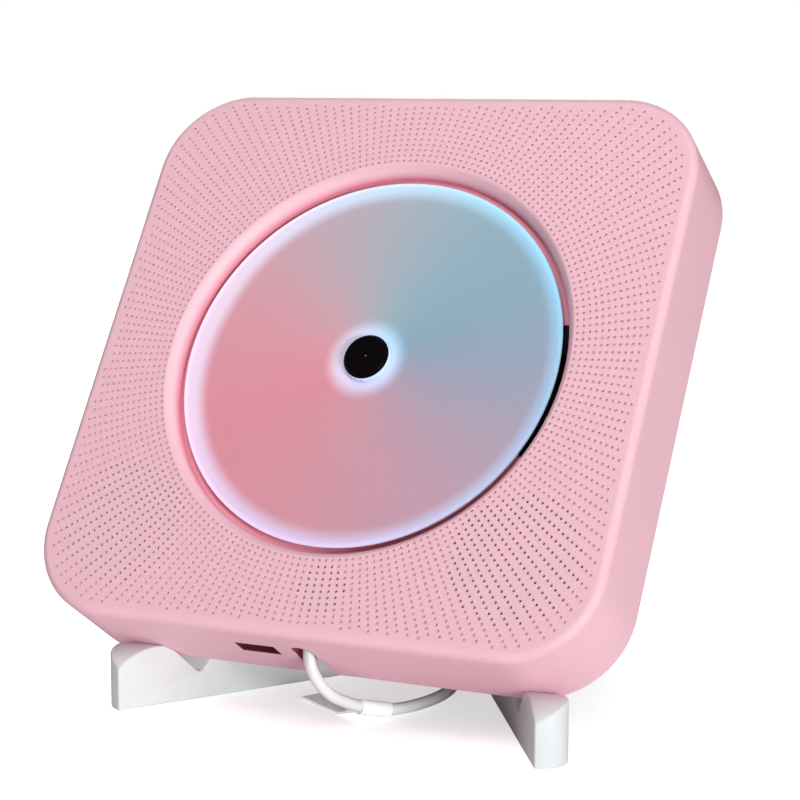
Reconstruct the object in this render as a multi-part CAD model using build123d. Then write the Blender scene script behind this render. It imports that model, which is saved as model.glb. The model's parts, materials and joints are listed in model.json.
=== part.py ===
from build123d import *
import math
import os

# Disc player that leans back on a crossed two-plate stand.
# Millimetres. Every player part is drawn flat first: +X to the right, +Y up the face, +Z out of the
# face, with Z = 0 on the front face and the spindle on the Z axis. seat() then leans it back and
# stands it over the floor. Stand and cord are drawn upright, in the final frame, with +Z up.

# ---------------------------------------------------------------- driving dimensions
BODY_W = 179.0              # width of the housing
BODY_H = 178.0              # height of the housing, along the face
BODY_DEPTH = 30.0           # depth of the side walls
CORNER_R = 27.0             # corner radius of the outline
FRONT_ROUND = 2.5           # round between face and side walls
LEAN_ANGLE = 33.5           # lean of the face back from upright, degrees
EDGE_HEIGHT = 13.7          # lower back edge of the housing above the floor

WALL = 2.4                  # side walls and back cover
FACE_T = 2.5                # front face
GRILLE_T = 1.2              # front face where sound or light passes
PLATEAU = 6.0               # how far the middle of the back cover stands proud

DISC_D = 120.0              # standard compact disc
DISC_HOLE_D = 15.0
DISC_T = 1.2
DISC_TOP = -4.0             # upper face of the disc below the front face

WELL_R = 62.0               # round well that the disc lies in
WELL_DEPTH = 6.2
WELL_LIP = 3.0              # round at the mouth of the well
FLOOR_T = 2.0

PLATE_T = 10.6              # thickness of each stand plate
SPLAY_ANGLE = 32.45         # each plate's angle from straight back, degrees
STAND_SHIFT = 7.0           # the housing stands this far left of the stand's middle
FRONT_SPREAD = 65.9         # half the distance between the plates' inner front corners
FRONT_REACH = 19.1          # plates reach this far ahead of the lower back edge
PLATE_LENGTH = 158.0

CORD_D = 3.5

# ---------------------------------------------------------------- clearances
FIT = 0.05                  # radial clearance of a turning or sliding fit
SEAT_GAP = 0.05             # housing to stand
LOOSE = 0.3                 # parts that only stand side by side
COVER_GAP = 0.15            # between the back cover and the side walls
LAP_GAP = 0.1               # between the two stand plates
PAST = 1.0                  # how far a cut runs past the face that it opens

# ---------------------------------------------------------------- levels and limits (flat frame)
BACK = -BODY_DEPTH
COVER_IN = BACK + WALL
PLATEAU_Z = BACK - PLATEAU
DISC_UNDER = DISC_TOP - DISC_T
WELL_FLOOR = -WELL_DEPTH
FLOOR_UNDER = WELL_FLOOR - FLOOR_T
HALF_W = BODY_W / 2
HALF_H = BODY_H / 2
IN_W = HALF_W - WALL
IN_H = HALF_H - WALL

# ---------------------------------------------------------------- screws
# head radius, head height, shank radius, length
CASE_SCREW = (2.8, 1.1, 1.1, 8.0)
DECK_SCREW = (3.2, 1.4, 0.8, 3.0)
BOARD_SCREW = (2.2, 1.0, 0.9, 5.0)
SCREW_SUNK = 1.2            # case screw heads lie this deep in the cover

# ---------------------------------------------------------------- housing details
CASE_POST_R = 3.5
CASE_POSTS = [(-HALF_W + 23.5, HALF_H - 23.0), (HALF_W - 23.5, HALF_H - 23.0), (-HALF_W + 9.5, 8.0),
              (HALF_W - 9.5, 8.0), (-34.0, -HALF_H + 9.5), (32.0, -HALF_H + 9.5)]
PLATEAU_EDGES = (-HALF_W + 23.5, HALF_W - 23.5, -HALF_H + 27.0, HALF_H - 23.0)
PLATEAU_CORNER = 12.0
PLATEAU_SLOPE = 2.0
PAD_EDGES = (13.0, 47.0, -HALF_H + 33.0, -HALF_H + 81.0)
PAD_PROUD = 0.5             # rubber pads stand this far out of the plateau
PAD_SUNK = 0.7
PAD_CORNER = 4.0
KEYHOLE_AT = (35.0, 46.0)
KEYHOLE_R = 4.5
KEYHOLE_SLOT = (2.2, 10.0)  # half width and height of the slot over the entry
VENT = (12.0, 1.25)         # half width and half height of an air slot
VENT_X = 22.0
VENT_ROWS = range(-30, 31, 10)

# ---------------------------------------------------------------- drive mechanism
DECK_LOW_EDGE = -26.35      # lower and upper edge of the deck seen in the well
DECK_HIGH_EDGE = 15.7
DECK_LEFT = -34.0
DECK_TOP = WELL_FLOOR - 0.2
PLATE_TOP = FLOOR_UNDER - 1.2       # the deck's base plate hangs below the well on rubber
PLATE_THICK = 2.0
PLATE_LOW = PLATE_TOP - PLATE_THICK
DECK_PLATE = (-38.0, 58.0, -36.0, 38.0)
DECK_TONGUE = (40.0, 76.0, -20.0, 20.0)
DECK_POSTS = [(-33.0, -31.0), (-33.0, 27.0), (51.0, -31.0), (52.0, 29.0)]
POST_R = 1.6
GROMMET_R = 4.2
GROMMET_LIP = 1.0           # how far a grommet overlaps the deck's plate
HUB_R = DISC_HOLE_D / 2 - 0.08
HUB_TOP = -1.2
HUB_FLANGE_R = 14.0
HUB_SKIRT_R = 9.0
HUB_DIMPLE_R = 0.9
SHAFT_R = 1.0
BALL_R = 1.1                # sprung balls that hold the disc on the hub
BALL_TURNS = (30, 150, 270)
SPINDLE_MOTOR_R = 11.0
SPINDLE_MOTOR_H = 6.0

MODULE = 0.5                # gear tooth size
PRESSURE = 25.0
BACKLASH = 0.14
TOOTH_TIP = 0.85 * MODULE   # tooth height outside and inside the pitch line
TOOTH_ROOT = 1.1 * MODULE
TOOTH_PITCH = math.pi * MODULE
PINION_TEETH = 10
WHEEL_TEETH = 36
RACK_PINION_TEETH = 12
STUD_R = 1.0                # stud that the wheel turns on
LENS_REST = 24.0            # lens position over the innermost track
SLED_TRAVEL = 34.0
SLED_HALF = 10.0            # half length of the sled along its rods
SLED_SIDE = 18.6            # half width across them
TURRET_R = 3.4              # raised ring round the lens
LENS_R = 2.2
LENS_LOW = DECK_TOP - 1.0
ROD_Y = 15.0
ROD_R = 1.5
ROD_Z = -16.0
ROD_SPAN = (8.0, 74.0)
SLED_TOP = PLATE_LOW - 0.8
SLED_LOW = -19.5
RACK_PITCH_Y = 21.5
RACK_Z = (-19.4, -17.0)
WHEEL_X = 26.0
WHEEL_Y = RACK_PITCH_Y + RACK_PINION_TEETH * MODULE / 2
WHEEL_Z = (-22.3, -20.3)
MESH_ANGLE = 50.0           # direction from the wheel to the motor pinion
MESH_DISTANCE = (WHEEL_TEETH + PINION_TEETH) * MODULE / 2
MOTOR_X = WHEEL_X + MESH_DISTANCE * math.cos(math.radians(MESH_ANGLE))
MOTOR_Y = WHEEL_Y + MESH_DISTANCE * math.sin(math.radians(MESH_ANGLE))
SLED_MOTOR_R = 7.5
SLED_MOTOR_LOW = WHEEL_Z[1] + 0.8
MOTOR_SHAFT_R = 0.75

# ---------------------------------------------------------------- sound and light
GRILLE_R = 19.5
SPEAKER_R = GRILLE_R + 1.5
SPEAKER_X = HALF_W - 26.7
SPEAKER_Y = -HALF_H + 29.7
SPEAKER_HIGH = 10.5         # basket, from the face to the magnet
MAGNET_R = 11.5
MAGNET_HIGH = 6.0
WINDOW_AT = (7.0, -HALF_H + 15.0)   # light window between the speakers
WINDOW_R = 7.3
WINDOW_HIGH = 4.0

# ---------------------------------------------------------------- ports
USB_SLOT = (-22.0, -8.7, -18.0, -10.8)     # left, right, back, front
USB_MOUTH = -IN_H + 1.8
USB_CASE = (13.0, 13.5, 5.8)        # width, length and height of the socket
USB_SHEET = 0.35
NOTCH_W = 6.8               # open-ended slot for the cord
NOTCH_FRONT = -8.9
BAY_HALF = NOTCH_W / 2 + 1.0        # bay in the cover that the plug lies in
BAY_WALL = 1.4
BAY_TOP = -HALF_H + 20.0
BAY_FRONT = NOTCH_FRONT - 1.3
JACK_Z = -13.6
JACK_LOW = BAY_TOP + 1.4
JACK_HALF = 4.4
JACK_LENGTH = 12.5
PIN_R = 0.6
BARREL_R = 1.75
PLUG_R = 2.8
PLUG_NOSE = JACK_LOW + 9.5
PLUG_FACE = BAY_TOP - 0.3
PLUG_GRIP_END = PLUG_FACE - 5.4
RELIEF_LENGTH = 3.0
PLUG_TAIL = PLUG_GRIP_END - RELIEF_LENGTH
PHONES_AT = (-14.0, -14.0)  # height and depth of the headphone socket on the left side
PHONES_R = 1.8
PHONES_LENGTH = 12.9
PHONES_HALF = 4.0

# ---------------------------------------------------------------- keys on the top edge
BUTTON_NAMES = ["power", "mode", "previous", "play", "next", "volume"]
BUTTON_R = 3.5
BUTTON_Z = -14.0
BUTTON_STEP = 15.0
BUTTON_TRAVEL = 0.5
BUTTON_LOW = IN_H - 1.5
BUTTON_DISH_R = 12.0        # hollow in the top of each key
BUTTON_DISH = 0.3
KEY_BOARD_Y = (IN_H - 6.6, IN_H - 5.4)
KEY_RAIL_X = (BUTTON_STEP * 3.0, BUTTON_STEP * 3.0 + 3.0)

# ---------------------------------------------------------------- boards
BOARD_T = 1.6
BOARD_CORNER = 1.0
BOARD_POST_R = 2.4
BOARD_HOLE_R = 1.1
BOARD_TOP = -21.0
BOARD_Z = (BOARD_TOP - BOARD_T, BOARD_TOP)
BOARD_LEFT = -IN_W + PHONES_LENGTH + 0.2
BOARD_LOW = -34.0
BOARD_SIZE = (32.0, 96.0)
BOARD = (BOARD_LEFT, BOARD_LEFT + BOARD_SIZE[0], BOARD_LOW, BOARD_LOW + BOARD_SIZE[1])
BOARD_POST_IN = (4.0, 5.0)
BOARD_POSTS = [(x, y) for x in (BOARD[0] + BOARD_POST_IN[0], BOARD[1] - BOARD_POST_IN[0])
               for y in (BOARD[2] + BOARD_POST_IN[1], BOARD[3] - BOARD_POST_IN[1])]
CHIPS = [(8, 25, 42, 59, 1.6), (6, 18, 68, 78, 1.4), (20, 28, 30, 38, 1.2), (8, 16, 12, 18, 1.2),
         (22, 28, 68, 72, 1.0), (14, 20, 20, 26, 3.0)]      # left, right, low, high on the board, height
CAPACITORS = [(24, 84, 3.2, 9.0), (16, 85, 3.2, 9.0), (27, 20, 2.5, 6.5), (27, 13, 2.5, 6.5)]
PORT_BOARD_TOP = -17.6
PORT_BOARD_Z = (PORT_BOARD_TOP - BOARD_T, PORT_BOARD_TOP)
PORT_BOARD_X = (-28.0, 12.0)
PORT_BOARD_HIGH = -WELL_R + 10.0
PORT_POSTS = [(-24.0, -WELL_R + 1.0), (8.2, -WELL_R + 3.0)]

# ---------------------------------------------------------------- stand
NOSE = ((0, 12.2), (5.9, 16.9), (14.5, 17.4))       # distance back and height of the round front end
VALLEY_AT = 22.2            # where the valley's slope meets its floor
VALLEY_HIGH = 8.5
NOSE_ROUND = 7.0            # outer front corner, seen from above
ARM_TOP = 72.0
ARM_WIDE = 7.0
TAIL_HEIGHT = 12.0
HALF_LAP = 18.0             # height of the joint between the crossed plates
ARCH_AT = 99.3              # cord way under the left plate, from its front end
ARCH_HALF = 6.5
ARCH_TOP = 8.0

# ---------------------------------------------------------------- cord, tag, coil and plug
CORD_R = CORD_D / 2
LABEL_W = 9.0               # paper tag, along the cord
LABEL_ROOM = (1.5, 0.9)     # how much wider and higher than the cord it is
FLAG_LENGTH = 25.0
FLAG_T = 0.5
COIL_AT = (-40.0, 74.0)
COIL_R = 5.5 * CORD_D
COIL_WIDE = 3 * CORD_D
COIL_HIGH = CORD_D * (1 + math.sqrt(3))
TIE_W = 6.0
TIE_T = 0.5
USB_GRIP = (20.0, 15.5, 7.8)        # moulded grip of the USB plug
USB_SHELL = (12.5, 12.0, 4.5)       # its metal end
USB_RELIEF = 4.0
TAIL_ROUTE = [(-40.0, 93.25, CORD_R), (-30.0, 94.4, CORD_R), (-21.0, 99.6, CORD_R), (-12.0, 105.6, 3.0),
              (-2.0, 107.4, 3.95)]


# ================================================================ small helpers
def plate(left, right, low, high, back, front, radius=0.0):
    """Flat block from its limits, with rounded upright corners."""
    width = right - left
    height = high - low
    outline = RectangleRounded(width, height, radius) if radius else Rectangle(width, height)
    middle = Pos((left + right) / 2, (low + high) / 2, back)
    return extrude(middle * outline, front - back)


def disc_at(x, y, radius, back, front):
    """Round block along Z from one depth to another."""
    return extrude(Pos(x, y, back) * Circle(radius), front - back)


def ring_at(x, y, inner, outer, back, front):
    return disc_at(x, y, outer, back, front) - disc_at(x, y, inner, back - PAST, front + PAST)


def bar_y(x, z, radius, low, high):
    """Round bar along Y."""
    return extrude(Plane(origin=(x, low, z), z_dir=(0, 1, 0)) * Circle(radius), high - low)


def bar_x(y, z, radius, left, right):
    """Round bar along X."""
    return extrude(Plane(origin=(left, y, z), z_dir=(1, 0, 0)) * Circle(radius), right - left)


def turned(points, x=0.0, y=0.0):
    """Solid of revolution about an upright line, from (radius, depth) points."""
    profile = make_face(Polyline(*[(r, 0, z) for r, z in points], close=True))
    return Pos(x, y, 0) * revolve(profile, Axis.Z)


def middle_of(shapes):
    """Middle of the shapes' common box along Y."""
    boxes = [shape.bounding_box() for shape in shapes]
    return (min(box.min.Y for box in boxes) + max(box.max.Y for box in boxes)) / 2


# ================================================================ housing
def outline_block(inset, back, front):
    return plate(-HALF_W + inset, HALF_W - inset, -HALF_H + inset, HALF_H - inset, back, front,
                 CORNER_R - inset)


def bottom_notch():
    """Open-ended slot in the bottom wall that lets the cord out."""
    half = NOTCH_W / 2
    low = -HALF_H - PAST
    high = -IN_H + PAST
    slot = plate(-half, half, low, high, BACK - PAST, NOTCH_FRONT - half)
    return slot + bar_y(0, NOTCH_FRONT - half, half, low, high)


def deck_window(gap=0.0):
    """Part of the well floor that the drive deck fills."""
    window = plate(DECK_LEFT + gap, WELL_R + PAST, DECK_LOW_EDGE + gap, DECK_HIGH_EDGE - gap,
                   FLOOR_UNDER - 2 * PAST, 0, 3.0)
    return window & disc_at(0, 0, WELL_R - gap, FLOOR_UNDER - 2 * PAST, 0)


def pillars(places, radius, back, front):
    return [disc_at(x, y, radius, back, front) for x, y in places]


def front_shell():
    shell = outline_block(0, BACK, 0)
    shell = fillet(shell.edges().group_by(Axis.Z)[-1], FRONT_ROUND)
    shell -= outline_block(WALL, BACK - PAST, -FACE_T)
    # round well for the disc
    shell += disc_at(0, 0, WELL_R + FLOOR_T, FLOOR_UNDER, -FACE_T)
    shell -= disc_at(0, 0, WELL_R, WELL_FLOOR, PAST)
    mouth = shell.edges().filter_by(GeomType.CIRCLE).filter_by(lambda e: abs(e.radius - WELL_R) < 0.01)
    shell = fillet(mouth.sort_by(Axis.Z)[-1], WELL_LIP)
    shell -= deck_window()
    # thin face over the speakers and the light window
    for side in (-1, 1):
        shell -= disc_at(side * SPEAKER_X, SPEAKER_Y, GRILLE_R, -FACE_T - 0.1, -GRILLE_T)
    shell -= disc_at(*WINDOW_AT, WINDOW_R, -FACE_T - 0.1, -GRILLE_T)
    # posts for the case screws, the deck and the boards, and the slotted ribs of the key board
    shell += pillars(CASE_POSTS, CASE_POST_R, COVER_IN + FIT, -FACE_T)
    shell += pillars(DECK_POSTS, POST_R, PLATE_LOW - GROMMET_LIP, FLOOR_UNDER)
    shell += pillars(BOARD_POSTS, BOARD_POST_R, BOARD_Z[1], -FACE_T)
    shell += pillars(PORT_POSTS, BOARD_POST_R, PORT_BOARD_Z[1], FLOOR_UNDER)
    shell += [button_rail(side) for side in (-1, 1)]
    shell -= disc_at(0, 0, WELL_R - WELL_LIP, WELL_FLOOR, PAST) - deck_window()
    # pilot holes, as deep as each screw reaches
    shell -= pillars(CASE_POSTS, CASE_SCREW[2], COVER_IN - PAST, COVER_IN + 12)
    shell -= pillars(DECK_POSTS, DECK_SCREW[2], PLATE_LOW - 2 * PAST, FLOOR_UNDER)
    shell -= pillars(BOARD_POSTS, BOARD_SCREW[2], BOARD_Z[1] - PAST, BOARD_Z[1] + 6)
    shell -= pillars(PORT_POSTS, BOARD_SCREW[2], PORT_BOARD_Z[1] - PAST, PORT_BOARD_Z[1] + 6)
    # openings in the side walls
    left, right, back, front = USB_SLOT
    shell -= plate(left, right, -HALF_H - PAST, -IN_H + PAST, back, front)
    shell -= bottom_notch()
    shell -= bar_x(*PHONES_AT, 3.2, -HALF_W - PAST, -IN_W + PAST)
    for x in button_places():
        shell -= bar_y(x, BUTTON_Z, BUTTON_R + FIT, IN_H - PAST, HALF_H + PAST)
    return shell


def back_cover():
    cover = outline_block(WALL + COVER_GAP, BACK, COVER_IN)
    cover += chamfer(plateau_block(0, PLATEAU_Z, COVER_IN).edges().group_by(Axis.Z)[0], PLATEAU_SLOPE)
    cover -= plateau_block(WALL, PLATEAU_Z + WALL, COVER_IN + PAST)
    # bay that the power plug sits in, open to the back and the bottom
    outer = BAY_HALF + BAY_WALL
    cover += plate(-outer, outer, -IN_H + 0.2, BAY_TOP + BAY_WALL, COVER_IN, BAY_FRONT + 1.2)
    cover -= plate(-BAY_HALF, BAY_HALF, -HALF_H, BAY_TOP, BACK - PAST, BAY_FRONT)
    cover -= bar_y(0, JACK_Z, BARREL_R + 0.35, BAY_TOP - PAST, BAY_TOP + 3)
    # screw holes, keyholes for a wall, air slots
    for x, y in CASE_POSTS:
        cover -= disc_at(x, y, 1.6, BACK - PAST, COVER_IN + PAST)
        cover -= disc_at(x, y, CASE_SCREW[0] + LOOSE, BACK - PAST, BACK + SCREW_SUNK)
    for side in (-1, 1):
        cover -= keyhole(side * KEYHOLE_AT[0], KEYHOLE_AT[1])
        cover -= [vent(side * VENT_X, y) for y in VENT_ROWS]
        cover -= pad_block(side, PLATEAU_Z - PAST, PLATEAU_Z + PAD_SUNK)
    return cover


def plateau_block(inset, back, front):
    left, right, low, high = PLATEAU_EDGES
    return plate(left + inset, right - inset, low + inset, high - inset, back, front, PLATEAU_CORNER - inset)


def keyhole(x, y):
    """Round entry with a slot above it, for a screw head on a wall."""
    back = PLATEAU_Z - PAST
    front = PLATEAU_Z + WALL + PAST
    half, reach = KEYHOLE_SLOT
    slot = plate(x - half, x + half, y, y + reach, back, front, half - 0.1)
    return disc_at(x, y, KEYHOLE_R, back, front) + slot


def vent(x, y):
    wide, high = VENT
    back = PLATEAU_Z - PAST
    return plate(x - wide, x + wide, y - high, y + high, back, PLATEAU_Z + WALL + PAST, high - 0.05)


def pad_block(side, back, front):
    near, far, low, high = PAD_EDGES
    left, right = sorted([side * near, side * far])
    return plate(left, right, low, high, back, front, PAD_CORNER)


def back_pads():
    pads = [pad_block(side, PLATEAU_Z - PAD_PROUD, PLATEAU_Z + PAD_SUNK) for side in (-1, 1)]
    return Compound(children=pads)


def pan_screw(x, y, seat, head_r, head_h, shank_r, length):
    """Pan-head screw driven towards +Z: the head lies behind its seat."""
    back = seat - head_h
    head = fillet(disc_at(x, y, head_r, back, seat).edges().group_by(Axis.Z)[0], head_h * 0.4)
    reach = head_r * 0.6
    deep = back + head_h * 0.5
    head -= plate(x - reach, x + reach, y - 0.25, y + 0.25, back - PAST, deep)
    head -= plate(x - 0.25, x + 0.25, y - reach, y + reach, back - PAST, deep)
    return head + disc_at(x, y, shank_r, seat, seat + length)


def screws(places, seat, sizes):
    return Compound(children=[pan_screw(x, y, seat, *sizes) for x, y in places])


# ================================================================ keys on the top edge
def button_places():
    count = len(BUTTON_NAMES)
    return [BUTTON_STEP * (i - (count - 1) / 2) for i in range(count)]


def button_rail(side):
    """Slotted rib that holds one end of the key board."""
    near, far = sorted([side * KEY_RAIL_X[0], side * KEY_RAIL_X[1]])
    rib = plate(near - 1, far + 1, KEY_BOARD_Y[0] - 2.5, IN_H, BUTTON_Z - 5, -FACE_T + 0.2)
    inner = near - 2 if side > 0 else near
    outer = far if side > 0 else far + 2
    return rib - plate(inner, outer, KEY_BOARD_Y[0] - 0.1, KEY_BOARD_Y[1] + 0.1, BUTTON_Z - 6, -FACE_T)


def button(x):
    """Round key with a dished top and a flange that keeps it in."""
    flange = bar_y(x, BUTTON_Z, BUTTON_R + 0.9, BUTTON_LOW, IN_H - 0.1)
    cap = bar_y(x, BUTTON_Z, BUTTON_R, BUTTON_LOW, HALF_H - 0.05)
    cap = fillet(cap.edges().group_by(Axis.Y)[-1], 0.5)
    cap -= Pos(x, HALF_H + BUTTON_DISH_R - BUTTON_DISH, BUTTON_Z) * Sphere(BUTTON_DISH_R)
    return cap + flange


def key_board():
    reach = KEY_RAIL_X[1] - 0.3
    return plate(-reach, reach, KEY_BOARD_Y[0], KEY_BOARD_Y[1], BUTTON_Z - 4, BUTTON_Z + 5)


def key_switches():
    parts = []
    for x in button_places():
        case = plate(x - 3, x + 3, KEY_BOARD_Y[1], KEY_BOARD_Y[1] + 2.5, BUTTON_Z - 3, BUTTON_Z + 3, 0.3)
        parts.append(case + bar_y(x, BUTTON_Z, 1.7, KEY_BOARD_Y[1] + 2.5, BUTTON_LOW - BUTTON_TRAVEL - 0.1))
    return Compound(children=parts)


# ================================================================ disc and spindle
def compact_disc():
    disc = ring_at(0, 0, DISC_HOLE_D / 2, DISC_D / 2, DISC_UNDER, DISC_TOP)
    disc += ring_at(0, 0, 16.6, 17.4, DISC_UNDER - 0.2, DISC_UNDER)     # stacking ring
    rim = disc.edges().filter_by(GeomType.CIRCLE).filter_by(lambda e: e.radius > DISC_D / 2 - 0.1)
    return chamfer(rim, 0.15)


def spindle_hub():
    """Turntable, centring neck with a socket for each ball, and shaft."""
    flange_low = DISC_UNDER - 1.4
    shaft_low = PLATE_LOW - SPINDLE_MOTOR_H + 1.0
    profile = [(0, shaft_low), (SHAFT_R, shaft_low), (SHAFT_R, PLATE_LOW + 0.4), (HUB_SKIRT_R, PLATE_LOW + 0.4),
               (HUB_SKIRT_R, flange_low), (HUB_FLANGE_R, flange_low), (HUB_FLANGE_R, DISC_UNDER - 0.6),
               (HUB_R, DISC_UNDER - 0.6), (HUB_R, DISC_TOP + 1.2), (HUB_R - 1.1, HUB_TOP), (0, HUB_TOP)]
    hub = turned(profile)
    hub -= disc_at(0, 0, HUB_DIMPLE_R, HUB_TOP - 0.6, HUB_TOP + PAST)
    for turn in BALL_TURNS:
        hub -= ball_at(turn, BALL_R + FIT)
    return hub


def ball_at(turn, radius):
    angle = math.radians(turn)
    reach = HUB_R - BALL_R + 0.03
    return Pos(reach * math.cos(angle), reach * math.sin(angle), DISC_TOP + 0.25) * Sphere(radius)


def clamp_balls():
    return Compound(children=[ball_at(turn, BALL_R) for turn in BALL_TURNS])


def hub_mat():
    return ring_at(0, 0, HUB_R + 1.2, HUB_FLANGE_R - 0.6, DISC_UNDER - 0.6, DISC_UNDER - 0.02)


def spindle_motor():
    """Flat motor under the deck, with a bearing sleeve for the hub's shaft."""
    low = PLATE_LOW - SPINDLE_MOTOR_H
    can = disc_at(0, 0, SPINDLE_MOTOR_R, low, PLATE_LOW - 1.0)
    can = fillet(can.edges().group_by(Axis.Z)[0], 0.8)
    can += disc_at(0, 0, SPINDLE_MOTOR_R + 0.8, PLATE_LOW - 1.0, PLATE_LOW)
    can += ring_at(0, 0, SHAFT_R, 3.0, low - 0.6, low)
    return can - disc_at(0, 0, SHAFT_R + FIT, low - 2 * PAST, PLATE_LOW + PAST)


# ================================================================ gears
def involute(angle):
    return math.tan(angle) - angle


def polar(radius, angle):
    return (radius * math.cos(angle), radius * math.sin(angle))


def gear_outline(teeth):
    """Involute outline with a tooth centred on +X."""
    pitch_r = teeth * MODULE / 2
    base_r = pitch_r * math.cos(math.radians(PRESSURE))
    tip_r = pitch_r + TOOTH_TIP
    root_r = pitch_r - TOOTH_ROOT
    half_pitch = math.pi / (2 * teeth) - BACKLASH / (4 * pitch_r)
    start_r = max(base_r, root_r + 0.05)
    flank = []
    for step in range(4):
        radius = start_r + (tip_r - start_r) * step / 3
        roll = math.acos(min(1.0, base_r / radius))
        spread = half_pitch + involute(math.radians(PRESSURE)) - involute(roll)
        flank.append((radius, spread))
    points = []
    for tooth in range(teeth):
        middle = 2 * math.pi * tooth / teeth
        points.append(polar(root_r, middle - flank[0][1]))
        points += [polar(radius, middle - spread) for radius, spread in flank]
        points += [polar(radius, middle + spread) for radius, spread in reversed(flank)]
        points.append(polar(root_r, middle + flank[0][1]))
    return make_face(Polyline(*points, close=True))


def gear(x, y, teeth, turn, back, front):
    return Pos(x, y, back) * Rot(0, 0, turn) * extrude(gear_outline(teeth), front - back)


def rack_teeth(first, last):
    """Row of rack teeth facing +Y, standing either side of the wheel's centre."""
    top = RACK_PITCH_Y + TOOTH_TIP
    root = RACK_PITCH_Y - TOOTH_ROOT
    slope = math.tan(math.radians(PRESSURE))
    half = TOOTH_PITCH / 4 - BACKLASH / 4
    teeth = []
    for number in range(first, last):
        x = WHEEL_X + (number + 0.5) * TOOTH_PITCH
        wide = half + (RACK_PITCH_Y - root) * slope
        thin = half - (top - RACK_PITCH_Y) * slope
        shape = make_face(Polyline((x - wide, root - 0.1), (x + wide, root - 0.1), (x + thin, top),
                                   (x - thin, top), close=True))
        teeth.append(extrude(Pos(0, 0, RACK_Z[0]) * shape, RACK_Z[1] - RACK_Z[0]))
    return teeth


def feed_gear():
    """Two-step wheel: the small step drives the rack, the large one meets the motor."""
    wheel = gear(WHEEL_X, WHEEL_Y, WHEEL_TEETH, MESH_ANGLE, *WHEEL_Z)
    middle = Pos(WHEEL_X, WHEEL_Y, 0)
    hole_at = WHEEL_TEETH * MODULE / 2 - 3.4
    wheel -= [middle * Rot(0, 0, turn) * disc_at(hole_at, 0, 1.5, BACK, 0) for turn in range(0, 360, 72)]
    wheel += gear(WHEEL_X, WHEEL_Y, RACK_PINION_TEETH, -90, WHEEL_Z[1], RACK_Z[1] + 0.3)
    return wheel - disc_at(WHEEL_X, WHEEL_Y, STUD_R + FIT, BACK, 0)


def motor_pinion():
    half_tooth = 180 / PINION_TEETH
    pinion = gear(MOTOR_X, MOTOR_Y, PINION_TEETH, MESH_ANGLE + 180 + half_tooth, *WHEEL_Z)
    return pinion + disc_at(MOTOR_X, MOTOR_Y, MOTOR_SHAFT_R, WHEEL_Z[0] - 0.4, SLED_MOTOR_LOW + 4)


def sled_motor():
    can = disc_at(MOTOR_X, MOTOR_Y, SLED_MOTOR_R, SLED_MOTOR_LOW, PLATE_LOW)
    can = fillet(can.edges().group_by(Axis.Z)[0], 0.8)
    can += disc_at(MOTOR_X, MOTOR_Y, 2.2, SLED_MOTOR_LOW - 0.4, SLED_MOTOR_LOW)
    return can - disc_at(MOTOR_X, MOTOR_Y, MOTOR_SHAFT_R + FIT, SLED_MOTOR_LOW - PAST, SLED_MOTOR_LOW + 4.5)


# ================================================================ sled
def pickup_sled():
    """Carriage with bearings for both rods, the rack arm and the lens turret."""
    left = LENS_REST - SLED_HALF
    right = LENS_REST + SLED_HALF
    sled = plate(left, right, -SLED_SIDE, SLED_SIDE, SLED_LOW, SLED_TOP, 2.0)
    sled -= plate(left + 3, right - 3, -11.5, 11.5, SLED_LOW - PAST, SLED_TOP - 2.0, 1.5)
    for side in (-1, 1):
        sled -= bar_x(side * ROD_Y, ROD_Z, ROD_R + FIT, left - PAST, right + PAST)
    first = -math.ceil((SLED_TRAVEL + 4) / TOOTH_PITCH)
    last = 3
    start = WHEEL_X + first * TOOTH_PITCH
    end = WHEEL_X + last * TOOTH_PITCH
    sled += plate(start, end, SLED_SIDE - 0.4, RACK_PITCH_Y - TOOTH_ROOT, *RACK_Z)
    sled += rack_teeth(first, last)
    sled += disc_at(LENS_REST, 0, TURRET_R, SLED_TOP - 0.5, LENS_LOW)
    return sled - disc_at(LENS_REST, 0, LENS_R + 0.1, LENS_LOW - 1.5, LENS_LOW + PAST)


def pickup_lens():
    low = LENS_LOW - 1.5
    dome = [(LENS_R - 0.5, LENS_LOW + 0.3), (LENS_R - 1.2, LENS_LOW + 0.5), (0, LENS_LOW + 0.6)]
    return turned([(0, low), (LENS_R, low), (LENS_R, LENS_LOW)] + dome, LENS_REST, 0)


def sled_rods():
    return Compound(children=[bar_x(side * ROD_Y, ROD_Z, ROD_R, *ROD_SPAN) for side in (-1, 1)])


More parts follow.
